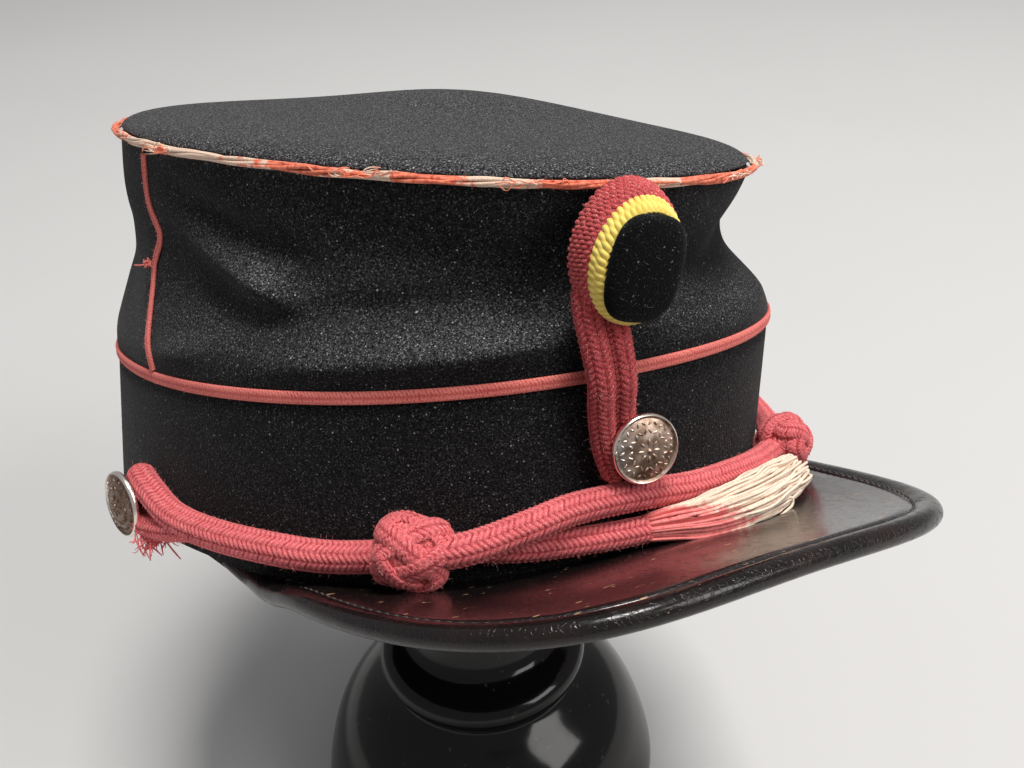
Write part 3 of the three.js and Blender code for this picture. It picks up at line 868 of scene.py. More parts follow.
# Where the roll's ends go up under the band: degrees and height.
BINDING_ENDS = [(59, 0.0002), (56.5, -0.0007), (53.5, -0.0022)]
STITCH = {"pitch": 0.0026, "length": 0.0017, "radius": 0.00024, "inset": 0.0032, "above": 0.0016}
THREAD_TINTS = ((0.012, 0.011, 0.011, 1), (0.1, 0.085, 0.075, 1))
peak_surface = surface(peak)


def peak_top(point):
    """The peak's top side on the cap's upright line through a point, or None."""
    start = CAP @ Vector((point[0], point[1], 0.06))
    way = (CAP.to_3x3() @ Vector((0, 0, -1))).normalized()
    return peak_surface.ray_cast(start, way)[0]


def edge_line():
    """The binding's line, in the cap's frame: round the edge, and up under the band."""
    ends = []
    for side in (1, -1):
        places = [CAP_BACK @ band_point(side * degrees, 0, BINDING["under"]) for degrees, z in BINDING_ENDS]
        ends.append([(place.x, place.y, z) for place, (degrees, z) in zip(places, BINDING_ENDS)])
    shares = np.linspace(0.02, 0.98, 61)
    middle = np.array([edge_point(share) for share in shares])
    middle[:, 2] += BINDING["lift"] * np.clip((abs(shares - 0.5) - 0.44) / 0.04, 0, 1)
    return smooth_line(np.vstack([ends[0], middle, ends[1][::-1]]), BINDING["step"])


def edge_frames():
    """Rows along the peak's edge: place, inward way along the plate, and the plate's normal."""
    rows = []
    slope = -0.3
    line = edge_line()
    for here, along in zip(line, unit(np.gradient(line, axis=0))):
        inward = unit(np.array([along[1], -along[0], 0]))
        near = peak_top(here + inward * BINDING["near"])
        far = peak_top(here + inward * BINDING["far"])
        if near is not None and far is not None:
            rise = (CAP_BACK @ far - CAP_BACK @ near).z / (BINDING["far"] - BINDING["near"])
            slope += (min(0.6, max(-0.9, rise)) - slope) * 0.25
        inward = unit(inward + np.array([0, 0, slope]))
        rows.append((here, inward, np.cross(inward, along)))
    return rows


edge_rows = edge_frames()


def make_binding():
    """Sweeps the roll's section round the edge."""
    around = len(BINDING_SECTION)
    places = []
    last = len(edge_rows) - 1
    for i, (here, inward, normal) in enumerate(edge_rows):
        grown = min(1, i / BINDING["thin_rows"], (last - i) / BINDING["thin_rows"])
        thin = 0.25 + 0.75 * math.sin(math.pi / 2 * grown)
        places += [here + (inward * across + normal * above) * thin for across, above in BINDING_SECTION]
    faces = ring_faces(len(edge_rows), around)
    faces.append(tuple(range(around))[::-1])
    faces.append(tuple(last * around + j for j in range(around)))
    piece = skin("leather_binding", to_scene(np.array(places)), faces)
    pick(piece)
    subdivide(piece, 1)
    bpy.ops.object.mode_set(mode="EDIT")
    bpy.ops.mesh.select_all(action="SELECT")
    bpy.ops.mesh.normals_make_consistent(inside=False)
    bpy.ops.object.mode_set(mode="OBJECT")
    leather = patent_finish("binding_leather", 0.17, 0.3, 0.76, 0.05)
    return dress(piece, leather, "patent_leather", "peak_binding")


def make_stitches():
    """Short thread dashes laid in the roll's sunk line."""
    line = [h + i * STITCH["inset"] + n * STITCH["above"] for h, i, n in edge_rows[20:-20]]
    line = smooth_line(line, STITCH["pitch"])
    away = np.array([0, 0, 1])
    lines = []
    for here, there in zip(line, line[1:]):
        way = unit(there - here)
        bend = [(t, STITCH["radius"] * (0.4 - 5.0 * t * t)) for t in (-0.5, -0.3, 0, 0.3, 0.5)]
        lines.append([to_scene(here + way * (t * STITCH["length"]) + away * drop) for t, drop in bend])
    piece = threads("peak_stitches", lines, STITCH["radius"], 6, 0.5)
    return dress(piece, mottled("black_thread", 0.5, 3.0, 3.0, THREAD_TINTS), "patent_leather")


make_binding()
make_stitches()


# Chin cord: a thick round braid of red wool, made fast under the side buttons, with a wound
# knot on each side of the front. It lies against the band and is held all the way.
# The first colour is a painted shade for the cord's grooves.
CORD_GROOVE_SHADE = (0.3, 0.009, 0.018, 1)
CORD_RIDGE = (0.9, 0.175, 0.19, 1)
CORD_FLUFF = (1.0, 0.6, 0.56, 1)
CORD = {"width": 0.0067, "columns": 10, "leaf": 0.00125, "relief": 0.0005, "step": 0.00029}
# Routes of the cords: degrees, height, and distance out from the band.
RIGHT_ROUTE = [
    (-76.2, 0.0172, 0.0040), (-74.5, 0.0154, 0.0039), (-71, 0.0132, 0.0039),
    (-64.5, 0.0097, 0.0039), (-56, 0.0086, 0.0039), (-46, 0.0080, 0.0039),
    (-38, 0.0076, 0.0042), (-28.4, 0.0086, 0.0055),
]
FRONT_ROUTE = [
    (-28.4, 0.0096, 0.0084), (-22.5, 0.0112, 0.0096), (-16, 0.0133, 0.0075),
    (-10, 0.0144, 0.0048), (-2, 0.0140, 0.0040), (8, 0.0118, 0.0039),
    (17, 0.0104, 0.0039), (25, 0.0092, 0.0046), (33.2, 0.0090, 0.0060),
]
LEFT_ROUTE = [
    (33.2, 0.0084, 0.0055), (45, 0.0076, 0.0038), (56, 0.0082, 0.0035),
    (66, 0.0104, 0.0036), (72, 0.0140, 0.0039), (74.5, 0.0154, 0.0039),
    (76.2, 0.0172, 0.0040),
]


def cap_route(rows):
    """A route's points, in the cap's frame."""
    return np.array([CAP_BACK @ band_point(*row) for row in rows])


cord_wool = wool_finish("cord_wool", CORD_GROOVE_SHADE, CORD_RIDGE, CORD_FLUFF)


def knit(name, line, width, columns=8, flat=1, sides=48, ends=0.5):
    """A knitted cord along a line in the cap's frame."""
    return plait(name, line, width, width * flat, columns, CORD["leaf"], CORD["relief"], sides, ends=ends)


def make_cord(node, rows):
    """One length of the chin cord, along its route."""
    line = smooth_line(cap_route(rows), CORD["step"])
    piece = knit(node + "_braid", line, CORD["width"], CORD["columns"])
    return dress(piece, cord_wool, "red_wool", node)


TUFT = {"aim": 0.3, "curl": 0.5, "wave": 0.12, "thin": 0.0001, "thick": 0.00024}


def make_tuft(name, middle, count, reach, way, material, spread, seed=5):
    """A frayed bunch of yarn ends at a place in the cap's frame."""
    rng = np.random.default_rng(seed)
    t = np.linspace(0, 1, 7)[:, None]
    lines = []
    for i in range(count):
        start = np.array(middle) + rng.normal(0, spread, 3) * [1, 1, 0.6]
        aim = np.array(way) + rng.normal(0, TUFT["aim"], 3)
        curl = rng.normal(0, TUFT["curl"], 3)
        wave = rng.normal(0, TUFT["wave"], 3) * np.sin(t * rng.uniform(5, 9) + rng.uniform(0, 6))
        long = reach * rng.uniform(0.45, 1.1)
        lines.append(to_scene(start + (aim * t + curl * t * t + wave * t) * long))
    radius = rng.uniform(TUFT["thin"], TUFT["thick"], count)
    piece = threads(name, lines, radius, 5, 0.6, crest=0.9)
    return dress(piece, material, "red_wool")


EYE_WIDTH = 0.0052
EYE_ROUTE = [
    (-60, 0.0082, 0.0040), (-64.5, 0.0066, 0.0044), (-69, 0.0055, 0.0050),
    (-73, 0.0052, 0.0054), (-76.5, 0.0064, 0.0052),
]


def make_eye(name, side):
    """The cord's end, doubled under to make the loop that holds on the side button."""
    line = smooth_line(cap_route([(side * d, h, out) for d, h, out in EYE_ROUTE]), CORD["step"])
    return dress(knit(name, line, EYE_WIDTH, sides=44), cord_wool, "red_wool")


cord_right = make_cord("chin_cord_right", RIGHT_ROUTE)
cord_front = make_cord("chin_cord_front", FRONT_ROUTE)
cord_left = make_cord("chin_cord_left", LEFT_ROUTE)
eyes = [make_eye("chin_cord_right_eye", 1), make_eye("chin_cord_left_eye", -1)]
loose_wool = wool_finish("loose_wool", CORD_GROOVE_SHADE, CORD_RIDGE, CORD_FLUFF)
for side, name in ((1, "right"), (-1, "left")):
    eye_end = CAP_BACK @ band_point(side * -70, 0.0040, 0.0052)
    make_tuft("chin_cord_tuft_" + name, eye_end, 120, 0.0034, (0, 0, -0.75), loose_wool, 0.0015)
kink = upright_line("side_braid_right", 4)[4] + np.array([-0.0012, 0, 0])
make_tuft("side_braid_tuft", kink, 30, 0.0012, (-0.4, -0.3, -0.4), braid_wool, 0.0004, 6)


# Knots: the cord's end is wound round it three times and tucked through itself, a flat
# turban of over and under strands that can slide along the cord.
KNOT_RIGHT = (-28.4, 0.0102, 0.0072)
KNOT_LEFT = (33.2, 0.0092, 0.0072)
KNOT = {"reach": 0.0062, "core": 0.0054, "weave": 0.0004, "strand": 0.0048, "leads": 3, "bights": 5}
KNOT_EGG = {"long": 1.45, "proud": 0.0008, "flat": 0.92, "tall": 1.06, "points": 560}
KNOT_PLAIT = {"depth": 0.0025, "columns": 8, "leaf": 0.0010, "relief": 0.0004, "around": 28}
BALL = {"radius": 0.0067, "shape": (1.2, 0.94, 1.03), "columns": 14, "leaf": 0.0011, "relief": 0.07}


def make_knot_core(name, pose):
    """The woven ball that shows between the knot's strands."""
    bpy.ops.mesh.primitive_uv_sphere_add(segments=72, ring_count=48, radius=BALL["radius"])
    core = bpy.context.object
    bpy.ops.transform.resize(value=BALL["shape"])
    bpy.ops.object.transform_apply(location=True, rotation=True, scale=True)
    ball = vertex_places(core)
    column = (np.arctan2(ball[:, 1], ball[:, 2]) / (2 * math.pi) % 1) * BALL["columns"]
    crest = braid_crest(column, (ball[:, 0] + 0.02) / BALL["leaf"])
    ball *= (1 + BALL["relief"] * (crest - 0.6))[:, None]
    core.data.vertices.foreach_set("co", ball.ravel())
    mark(core, "crest", crest)
    core.data.transform(pose)
    core.name = name
    bpy.ops.object.shade_smooth()
    dress(core, cord_wool, "red_wool")


def make_knot(node, row, tilt):
    """A closed strand that winds round an egg-shaped core, over and under itself."""
    turn = np.linspace(0, 2 * math.pi, KNOT_EGG["points"], endpoint=False)
    along = KNOT["reach"] * np.cos(KNOT["bights"] * turn)
    weave = KNOT["weave"] * np.sin(2 * KNOT["bights"] * turn)
    egg = np.sqrt(1 - (along / (KNOT["reach"] * KNOT_EGG["long"])) ** 2)
    radius = KNOT["core"] * egg + weave + KNOT_EGG["proud"]
    across = radius * np.cos(KNOT["leads"] * turn) * KNOT_EGG["flat"]
    upward = radius * np.sin(KNOT["leads"] * turn) * KNOT_EGG["tall"]
    line = np.column_stack([along, across, upward])
    place = CAP_BACK @ band_point(*row)
    turned = Matrix.Rotation(math.radians(row[0]), 3, "Z") @ Matrix.Rotation(math.radians(tilt), 3, "Y")
    line = line @ np.array(turned).T + np.array(place)
    name = node + "_winding"
    piece = plait(name, line, KNOT["strand"], closed=True, centre=place, **KNOT_PLAIT)
    make_knot_core(name + "_core", CAP @ Matrix.Translation(place) @ turned.to_4x4())
    return dress(piece, cord_wool, "red_wool", node)


knot_right = make_knot("knot_right", KNOT_RIGHT, 12)
knot_left = make_knot("knot_left", KNOT_LEFT, 8)


# Tail and tassel: the spare end of the cord, tucked behind its front length. Its last part
# is combed out into long loops of wool, whose red has faded to cream, that lie on the peak.
TAIL_WIDTH = 0.0058
TAIL_ROUTE = [
    (-28.4, 0.0098, 0.0042), (-22.5, 0.0086, 0.0034), (-16, 0.0072, 0.0036),
    (-10, 0.0068, 0.0044), (-4, 0.0064, 0.0054), (1, 0.0062, 0.0064),
]
# The tassel from root to tip: its middle line x, y, z, and half its width and height.
TASSEL = [
    (0.0000, -0.1052, 0.0064, 0.0026, 0.0026),
    (0.0050, -0.1082, 0.0072, 0.0044, 0.0041),
    (0.0120, -0.1112, 0.0080, 0.0060, 0.0051),
    (0.0240, -0.1108, 0.0086, 0.0060, 0.0050),
    (0.0370, -0.1066, 0.0084, 0.0056, 0.0045),
    (0.0480, -0.1012, 0.0078, 0.0052, 0.0038),
]
TASSEL_LOOPS = 190
LEG_ROWS = 22
BEND_ROWS = 5
YARN_RADIUS = 0.00034
SWAY = {"slow": 8, "slow_size": 0.1, "quick": 21, "quick_size": 0.045}
ROOT_RED = (0.95, 0.27, 0.25, 1)
ROOT_DEEP = (0.55, 0.05, 0.06, 1)
TIP_CREAM = (0.92, 0.75, 0.6, 1)
TIP_DEEP = (0.52, 0.31, 0.2, 1)


def tassel_leg(rows, across, high, reach, phase):
    """One leg of a loop, from the root to its reach, waved along the way."""
    stops = np.linspace(0, reach, LEG_ROWS)
    values = [np.interp(stops * (len(rows) - 1), range(len(rows)), rows[:, k]) for k in range(11)]
    values = np.array(values).T
    middle, side, up, wide = values[:, 0:3], values[:, 3:6], values[:, 6:9], values[:, 9:11]
    sway = np.sin(stops * SWAY["slow"] + phase[0]) * SWAY["slow_size"]
    sway += np.sin(stops * SWAY["quick"] + phase[1]) * SWAY["quick_size"]
    offset = side * ((across + sway * np.sqrt(stops)) * wide[:, 0])[:, None]
    offset += up * ((high + sway * 0.7 * np.cos(phase[1])) * wide[:, 1])[:, None]
    return middle + offset


def make_tassel():
    """Loops of yarn that run out along the tassel, turn and come back."""
    rng = np.random.default_rng(11)
    table = np.array(TASSEL)
    spine = smooth_line(table[:, :3], 0.0009)
    share = np.linspace(0, len(TASSEL) - 1, len(spine))
    wide = np.column_stack([np.interp(share, range(len(TASSEL)), table[:, k]) for k in (3, 4)])
    tangent = unit(np.gradient(spine, axis=0))
    side = unit(np.cross(tangent, [0, 0, 1]))
    rows = np.hstack([spine, side, np.cross(side, tangent), wide])
    lines = []
    shares = []
    for i in range(TASSEL_LOOPS):
        far = math.sqrt(rng.uniform(0.02, 1))
        turn = rng.uniform(0, 2 * math.pi)
        across = far * math.cos(turn)
        high = far * math.sin(turn)
        back_across = across * 0.7 + rng.normal(0, 0.2)
        back_high = high * 0.8 + rng.normal(0, 0.2)
        reach = rng.uniform(0.92, 1.0) if rng.uniform() < 0.8 else rng.uniform(0.6, 0.92)
        phase = rng.uniform(0, 6.28, 2)
        out = tassel_leg(rows, across, high, reach, phase)
        back = tassel_leg(rows, back_across, back_high, reach, phase + rng.normal(0, 0.7, 2))
        gap = back[-1] - out[-1]
        ahead = unit(out[-1] - out[-3]) * (np.linalg.norm(gap) * 0.5 + 0.0004)
        bends = np.linspace(0, math.pi, BEND_ROWS + 2)[1:-1, None]
        bend = out[-1] + gap * (1 - np.cos(bends)) / 2 + ahead * np.sin(bends)
        lines.append(to_scene(np.vstack([out, bend, back[::-1]])))
        fade = np.linspace(0, reach, LEG_ROWS) + 0.1 * high - 0.08 * across + rng.normal(0, 0.05)
        shares.append(np.concatenate([fade, np.full(BEND_ROWS, reach), fade[::-1]]))
    piece = threads("tassel_loops", lines, YARN_RADIUS, 5, share=shares)
    material, place, shader = finish("tassel_wool", 0.9, Sheen_Weight=0.2)
    share = place.attribute("share")
    hair = place.noise(4.0, 4.0)
    streak = place.noise(0.8, 3.0)
    faded = (share + (streak - 0.5) * 0.3).step(0.22, 0.36)
    dark = faded.mix(ROOT_DEEP, TIP_DEEP)
    tone = faded.mix(ROOT_RED, TIP_CREAM)
    shaded = (hair * 0.7 + streak * 0.3).step(0.25, 0.55).mix(dark, tone)
    feed(shader, Base_Color=shaded, Normal=hair.bump(0.00012, 0.7))
    return dress(piece, material, "cream_wool", "tassel")


tail_line = smooth_line(cap_route(TAIL_ROUTE), CORD["step"])
tail = knit("cord_tail_braid", tail_line, TAIL_WIDTH, ends=0.6)
dress(tail, cord_wool, "red_wool", "cord_tail")
tassel = make_tassel()
tail_path = to_scene(tail_line[::12])


# Cockade: a card cone wound with wool. Twisted red ropes lie side by side on its flank,
# fine yellow thread rings its front, and a pad of black felt closes it.
COCKADE = (
    Matrix.Translation((-0.005, -0.104, 0.0682))
    @ Matrix.Rotation(math.radians(11), 4, "X")
    @ Matrix.Rotation(math.radians(10), 4, "Y")
)
COCKADE_HALF = {"width": 0.011, "height": 0.0131, "sag": 0.22}
COCKADE_MIDDLE = 0.003
ROPE_STEP = 0.0002
PAD_POWER = 3.0
RED_ROPE = {"count": 46, "width": 0.0018, "pitch": 0.0021, "skew": -22, "relief": 0.0006}
YELLOW_ROPE = {"count": 50, "width": 0.0015, "pitch": 0.0036, "skew": -30, "relief": 0.00016}
# The way of a thread over the flank, from the wall forward: share of the width, and depth.
RED_WAY = [(0.84, 0.0001), (0.985, 0.0011), (1.0, 0.0032), (0.965, 0.0054), (0.9, 0.0067), (0.82, 0.0068)]
YELLOW_WAY = [(0.86, 0.0064), (0.925, 0.0070), (0.905, 0.0081), (0.865, 0.0092), (0.80, 0.0097)]


def cockade_point(degrees, share, depth):
    """A point of the cockade in the cap's frame: share of its width, depth from the wall."""
    turn = math.radians(degrees)
    x = COCKADE_HALF["width"] * share * math.sin(turn)
    z = COCKADE_HALF["height"] * share * math.cos(turn) - COCKADE_HALF["sag"] * depth
    return np.array(COCKADE @ Vector((x, -depth, z)))


def winding(way, start_degrees, skew):
    """The way that one thread takes over the cockade's flank."""
    deepest = way[-1][1]
    return np.array([cockade_point(start_degrees + skew * d / deepest, s, d) for s, d in way])


def join(name, pieces):
    """Several pieces made one mesh."""
    pick(*pieces)
    bpy.ops.object.join()
    pieces[0].name = name
    return pieces[0]


def make_winding(name, rope, way, start_degrees):
    """Twisted ropes side by side round the cone."""
    centre = cockade_point(0, 0, COCKADE_MIDDLE)
    ropes = []
    for i in range(rope["count"]):
        turn = start_degrees + 360 * i / rope["count"]
        line = smooth_line(winding(way, turn, rope["skew"]), ROPE_STEP)
        ropes.append(plait(
            "rope", line, rope["width"], rope["width"], 0, rope["pitch"] / 2, rope["relief"],
            around=10, ply=2, centre=centre,
        ))
    return join(name, ropes)


# Its first colour is a painted shade between the rope's plies.
rope_wool = wool_finish("rope_wool", (0.2, 0.006, 0.011, 1), (0.64, 0.07, 0.075, 1), CORD_FLUFF)
rope_winding = make_winding("cockade_ropes", RED_ROPE, RED_WAY, 0)
dress(rope_winding, rope_wool, "red_wool")


def yellow_finish():
    """Yellow wool, darker in its grooves by a painted shade, and soiled darker in random patches."""
    material, place, shader = finish("yellow_wool", 0.9, Sheen_Weight=0.2)
    crest = place.attribute("crest")
    hair = place.noise(3.0, 4.0)
    soil = place.noise(0.2, 3.0).step(0.4, 0.75)
    yellow = (crest * 0.7 + hair * 0.4).clamp().mix((0.6, 0.36, 0.03, 1), (0.96, 0.8, 0.2, 1))
    feed(shader, Base_Color=(soil * 0.4).mix(yellow, (0.6, 0.38, 0.03, 1)))
    return material


yellow_winding = make_winding("cockade_yellow_ropes", YELLOW_ROPE, YELLOW_WAY, 4)
dress(yellow_winding, yellow_finish(), "yellow_wool")


def coat_core_in_painted_shade(node, colour):
    """A darker coat on the solid under the threads: painted shade in the gaps between them."""
    dark = tuple(0.35 * c for c in colour[:3]) + (1,)
    coat(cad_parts[node], mottled(node + "_core", 0.95, 3.0, 3.0, (dark, colour)))


def square_pad(piece):
    """Gives the pad its flattened sides: its oval becomes a rounded oblong."""
    back = (CAP @ COCKADE).inverted()
    places = np.array([back @ v.co for v in piece.data.vertices])
    middle = (places.min(axis=0) + places.max(axis=0)) / 2
    half = (places.max(axis=0) - places.min(axis=0)) / 2
    x, z = ((places - middle) / half)[:, [0, 2]].T
    turn = np.arctan2(z, x)
    grow = (np.abs(np.cos(turn)) ** PAD_POWER + np.abs(np.sin(turn)) ** PAD_POWER) ** (-1 / PAD_POWER)
    share = np.clip(np.hypot(x, z), 0, 1) ** 2
    places[:, [0, 2]] = middle[[0, 2]] + (places - middle)[:, [0, 2]] * (1 + (grow - 1) * share)[:, None]
    for vertex, place in zip(piece.data.vertices, places):
        vertex.co = CAP @ COCKADE @ Vector(place)
    piece.data.update()


coat_core_in_painted_shade("cockade_red", (0.22, 0.012, 0.02, 1))
coat_core_in_painted_shade("cockade_yellow", (0.5, 0.33, 0.04, 1))
cockade_face = rounded("cockade_face", "cockade_pad", 3, crease=0.25, sharp=60)
square_pad(cockade_face)
# The pad takes the painted light where it faces up, less a base that keeps it dark.
add_dust_and_painted_light(cockade_face, -0.45)
dress(cockade_face, felt, "black_felt", "cockade_face")


# Cockade loop: one braided cord, doubled, that comes out from under the cockade and goes
# behind the front button. Its two lengths part a little above the band braid.
LOOP_WIDTH = 0.0057
# Routes of its lengths: x, distance out from the band, and height.
LOOP_RIGHT_ROUTE = [
    (-0.0136, 0.0034, 0.0610), (-0.0134, 0.0040, 0.0545), (-0.0125, 0.0051, 0.0475),
    (-0.0117, 0.0055, 0.0410), (-0.0104, 0.0038, 0.0340), (-0.0086, 0.0030, 0.0260),
    (-0.0064, 0.0031, 0.0204), (-0.0055, 0.0031, 0.0186),
]
LOOP_LEFT_ROUTE = [
    (-0.0076, 0.0034, 0.0610), (-0.0073, 0.0040, 0.0545), (-0.0068, 0.0051, 0.0475),
    (-0.0062, 0.0055, 0.0410), (-0.0050, 0.0036, 0.0340), (-0.0036, 0.0028, 0.0285),
    (-0.0028, 0.0027, 0.0250),
]


def make_loop(node, rows):
    """One length of the cockade's loop, a little flattened against the cap."""
    points = []
    for x, out, height in rows:
        lean = min(height, BAND_HEIGHT) / BAND_HEIGHT
        face = -BAND_TOP_OVAL["length"] + BAND_TOP_SHIFT.y * lean
        points.append((x, face - out, height))
    line = smooth_line(points, CORD["step"])
    return dress(knit(node + "_braid", line, LOOP_WIDTH, flat=0.88), loop_wool, "red_wool", node)


# Its first colour is a painted shade in the loop's grooves.
loop_wool = wool_finish("loop_wool", (0.22, 0.005, 0.01, 1), (0.62, 0.065, 0.075, 1), CORD_FLUFF)
loop_right = make_loop("cockade_loop_right", LOOP_RIGHT_ROUTE)
loop_left = make_loop("cockade_loop_left", LOOP_LEFT_ROUTE)


# Buttons: two-part stampings of brass gone bronze brown, with a domed face, a rolled rim
# rubbed bright, a ring of laurel leaves and a rosette, on a short shank.
BUTTON_DOME = 0.0029
SHANK = 0.26
# The face's outline from the back round the rim to the middle: share of the radius, and height.
BUTTON_PROFILE = [
    (0.26, -0.0001), (0.9, 0.0002), (0.99, 0.0006), (1.0, 0.0012), (0.975, 0.0017), (0.94, 0.0019),
    (0.9, 0.00175), (0.87, 0.0015), (0.8, 0.00175), (0.65, 0.0022), (0.45, 0.0026), (0.2, 0.00285),
]
# Node, degrees round the cap, degrees that it faces, height, distance out, radius, and age.
BUTTONS = [
    ("front_button", -1.9, -9, 0.0256, 0.0065, 0.0077, 0.0),
    ("side_button_right", -76, -76, 0.0094, 0.0070, 0.0081, 1.0),
    ("side_button_left", 76, 76, 0.0094, 0.0070, 0.0081, 1.0),
]
# Rings of leaves and petals: count, share of the radius, length, width, and slant in degrees.
RELIEF = [
    (26, 0.745, 0.00115, 0.0005, 38),
    (22, 0.53, 0.0014, 0.00055, 38),
    (8, 0.24, 0.0016, 0.0007, 0),
]
RELIEF_THICKNESS = 0.00028
RUBBED = {"rim": 0.9, "face": 0.86, "height": 0.00022}


def brass_finish():
    """Brass: the rub attribute brightens it, with real rubbing and a painted highlight on one side, and the
    aged attribute darkens the rest.
    """
    material, place, shader = finish("aged_brass", 0.3, Metallic=1.0)
    rub_and_painted_highlight = place.attribute("rub_and_painted_highlight")
    tarnish = place.noise(0.5, 5.0)
    fine = place.noise(3.0, 3.0)
    bright = (rub_and_painted_highlight + (tarnish - 0.5) * 0.5).step(0.35, 0.85)
    brown = tarnish.step(0.35, 0.7).mix((0.3, 0.2, 0.14, 1), (0.76, 0.58, 0.48, 1))
    brown = (place.attribute("aged") * 0.75).mix(brown, (0.13, 0.08, 0.055, 1))
    feed(
        shader,
        Base_Color=bright.mix(brown, (0.93, 0.83, 0.76, 1)),
        Roughness=0.38 - bright * 0.2 + fine * 0.12,
        Normal=fine.bump(0.00005, 0.5),
    )
    return material


def button_height(share):
    """How far the button's face stands out at a share of its radius."""
    rows = sorted((s, out) for s, out in BUTTON_PROFILE if out > 0.0014)
    return float(np.interp(share, [s for s, out in rows], [out for s, out in rows]))


def stamp(radius, count, at, length, width, slant):
    """A ring of stamped leaves or petals on the face of a button."""
    made = []
    for i in range(count):
        bpy.ops.mesh.primitive_uv_sphere_add(segments=10, ring_count=6, radius=1)
        bpy.ops.transform.resize(value=(length / 2, width / 2, RELIEF_THICKNESS))
        leaf = bpy.context.object
        bpy.ops.object.transform_apply(location=False, rotation=True, scale=True)
        lean = math.radians(slant) * (1 if i % 2 else -1)
        spot = Matrix.Translation((at * radius, 0, button_height(at)))
        leaf.data.transform(
            Matrix.Rotation(2 * math.pi * i / count, 4, "Z") @ spot @ Matrix.Rotation(lean, 4, "Z")
        )
        made.append(leaf)
    return made


def make_button(node, degrees, faces, height, out, radius, age):
    """Spins the profile, stamps the relief on it and sets it on its shank."""
    foot = 0.0002 - out
    profile = [(0, foot), (SHANK, foot)] + BUTTON_PROFILE + [(0, BUTTON_DOME)]
    mesh = bpy.data.meshes.new("button_profile")
    edges = [(i, i + 1) for i in range(len(profile) - 1)]
    mesh.from_pydata([(radius * share, 0, rise) for share, rise in profile], edges, [])
    button = add_object(node + "_face", mesh)
    pick(button)
    bpy.ops.object.mode_set(mode="EDIT")
    bpy.ops.mesh.select_all(action="SELECT")
    bpy.ops.mesh.spin(steps=56, angle=2 * math.pi, center=(0, 0, 0), axis=(0, 0, 1))
    bpy.ops.mesh.select_all(action="SELECT")
    bpy.ops.mesh.remove_doubles(threshold=0.00001)
    bpy.ops.mesh.normals_make_consistent(inside=False)
    bpy.ops.object.mode_set(mode="OBJECT")
    parts = [button]
    for ring in RELIEF:
        parts += stamp(radius, *ring)
    bpy.ops.mesh.primitive_uv_sphere_add(segments=16, ring_count=8, radius=0.0006)
    boss = bpy.context.object
    boss.data.transform(Matrix.Translation((0, 0, BUTTON_DOME)))
    button = join(node + "_face", parts + [boss])
    bpy.ops.object.shade_smooth_by_angle(angle=math.radians(40))
    places = vertex_places(button)
    share = np.hypot(places[:, 0], places[:, 1]) / radius
    rim = np.clip((share - RUBBED["rim"]) / 0.05, 0, 1)
    above = places[:, 2] - np.array([button_height(s) for s in share])
    high = np.clip(above / RUBBED["height"], 0, 1) * (share < RUBBED["face"])
    # One side of the face is brightened as a painted highlight.
    painted_lit_side = np.clip(-places[:, 0] / radius - 0.05, 0, 1) * 0.9
    rub_and_painted_highlight = np.clip(rim * 0.9 + high * 0.4 + painted_lit_side * (share < RUBBED["rim"]), 0, 1)
    mark(button, "aged", np.full(len(rub_and_painted_highlight), age))
    mark(button, "rub_and_painted_highlight", rub_and_painted_highlight)
    turn = math.radians(faces)
    facing = Matrix((
        (math.cos(turn), 0, math.sin(turn)),
        (math.sin(turn), 0, -math.cos(turn)),
        (0, 1, 0),
    )).to_4x4()
    place = CAP_BACK @ band_point(degrees, height, out)
    button.data.transform(CAP @ Matrix.Translation(place) @ facing)
    return dress(button, brass, "aged_brass", node)


brass = brass_finish()
for row in BUTTONS:
    make_button(*row)


# Fluff and lint: short fibres that stand off the wool cords, and pale dust fibres that
# cling to the felt.
def scatter(piece, count, rng):
    """Even random spots on a piece: places and outward directions."""
    mesh = piece.data
    mesh.calc_loop_triangles()
    corners = np.empty(len(mesh.loop_triangles) * 3, int)
    mesh.loop_triangles.foreach_get("vertices", corners)
    places = vertex_places(piece)
    a, b, c = (places[corners.reshape(-1, 3)[:, i]] for i in range(3))
    cross = np.cross(b - a, c - a)
    area = np.linalg.norm(cross, axis=1)
    chosen = rng.choice(len(area), count, p=area / area.sum())
    u, v = rng.uniform(0, 1, (2, count, 1))
    flip = (u + v) > 1
    u, v = np.where(flip, 1 - u, u), np.where(flip, 1 - v, v)
    spots = a[chosen] + (b - a)[chosen] * u + (c - a)[chosen] * v
    return spots, cross[chosen] / (area[chosen][:, None] + 1e-15)


def make_fibres(name, pieces, count, length, radius, stand, colours, slot, seed):
    """Curled fibres on pieces. Stand is 0 for lying flat and 1 for upright."""
    rng = np.random.default_rng(seed)
    share = max(1, count // len(pieces))
    lines = []
    for piece in pieces:
        spots, normals = scatter(piece, share, rng)
        way = unit(np.cross(normals, rng.normal(0, 1, normals.shape)) + normals * stand)
        curl = rng.normal(0, 0.35, normals.shape)
        reach = length * rng.uniform(0.4, 1.3, (share, 1))
        t = np.array([0, 0.55, 1.0])[None, :, None]
        line = spots[:, None] + normals[:, None] * radius * 0.6
        line = line + way[:, None] * reach[:, None] * t + curl[:, None] * reach[:, None] * t * t
        line += normals[:, None] * (np.abs(t * (1 - t)) * reach[:, None] * (0.5 - stand * 0.3))
        lines.append(line)
    piece = threads(name, np.concatenate(lines), radius, 3, 0.3)
    dress(piece, mottled(name + "_finish", 0.9, 0.4, 1.0, colours, (0.4, 0.6)), slot)


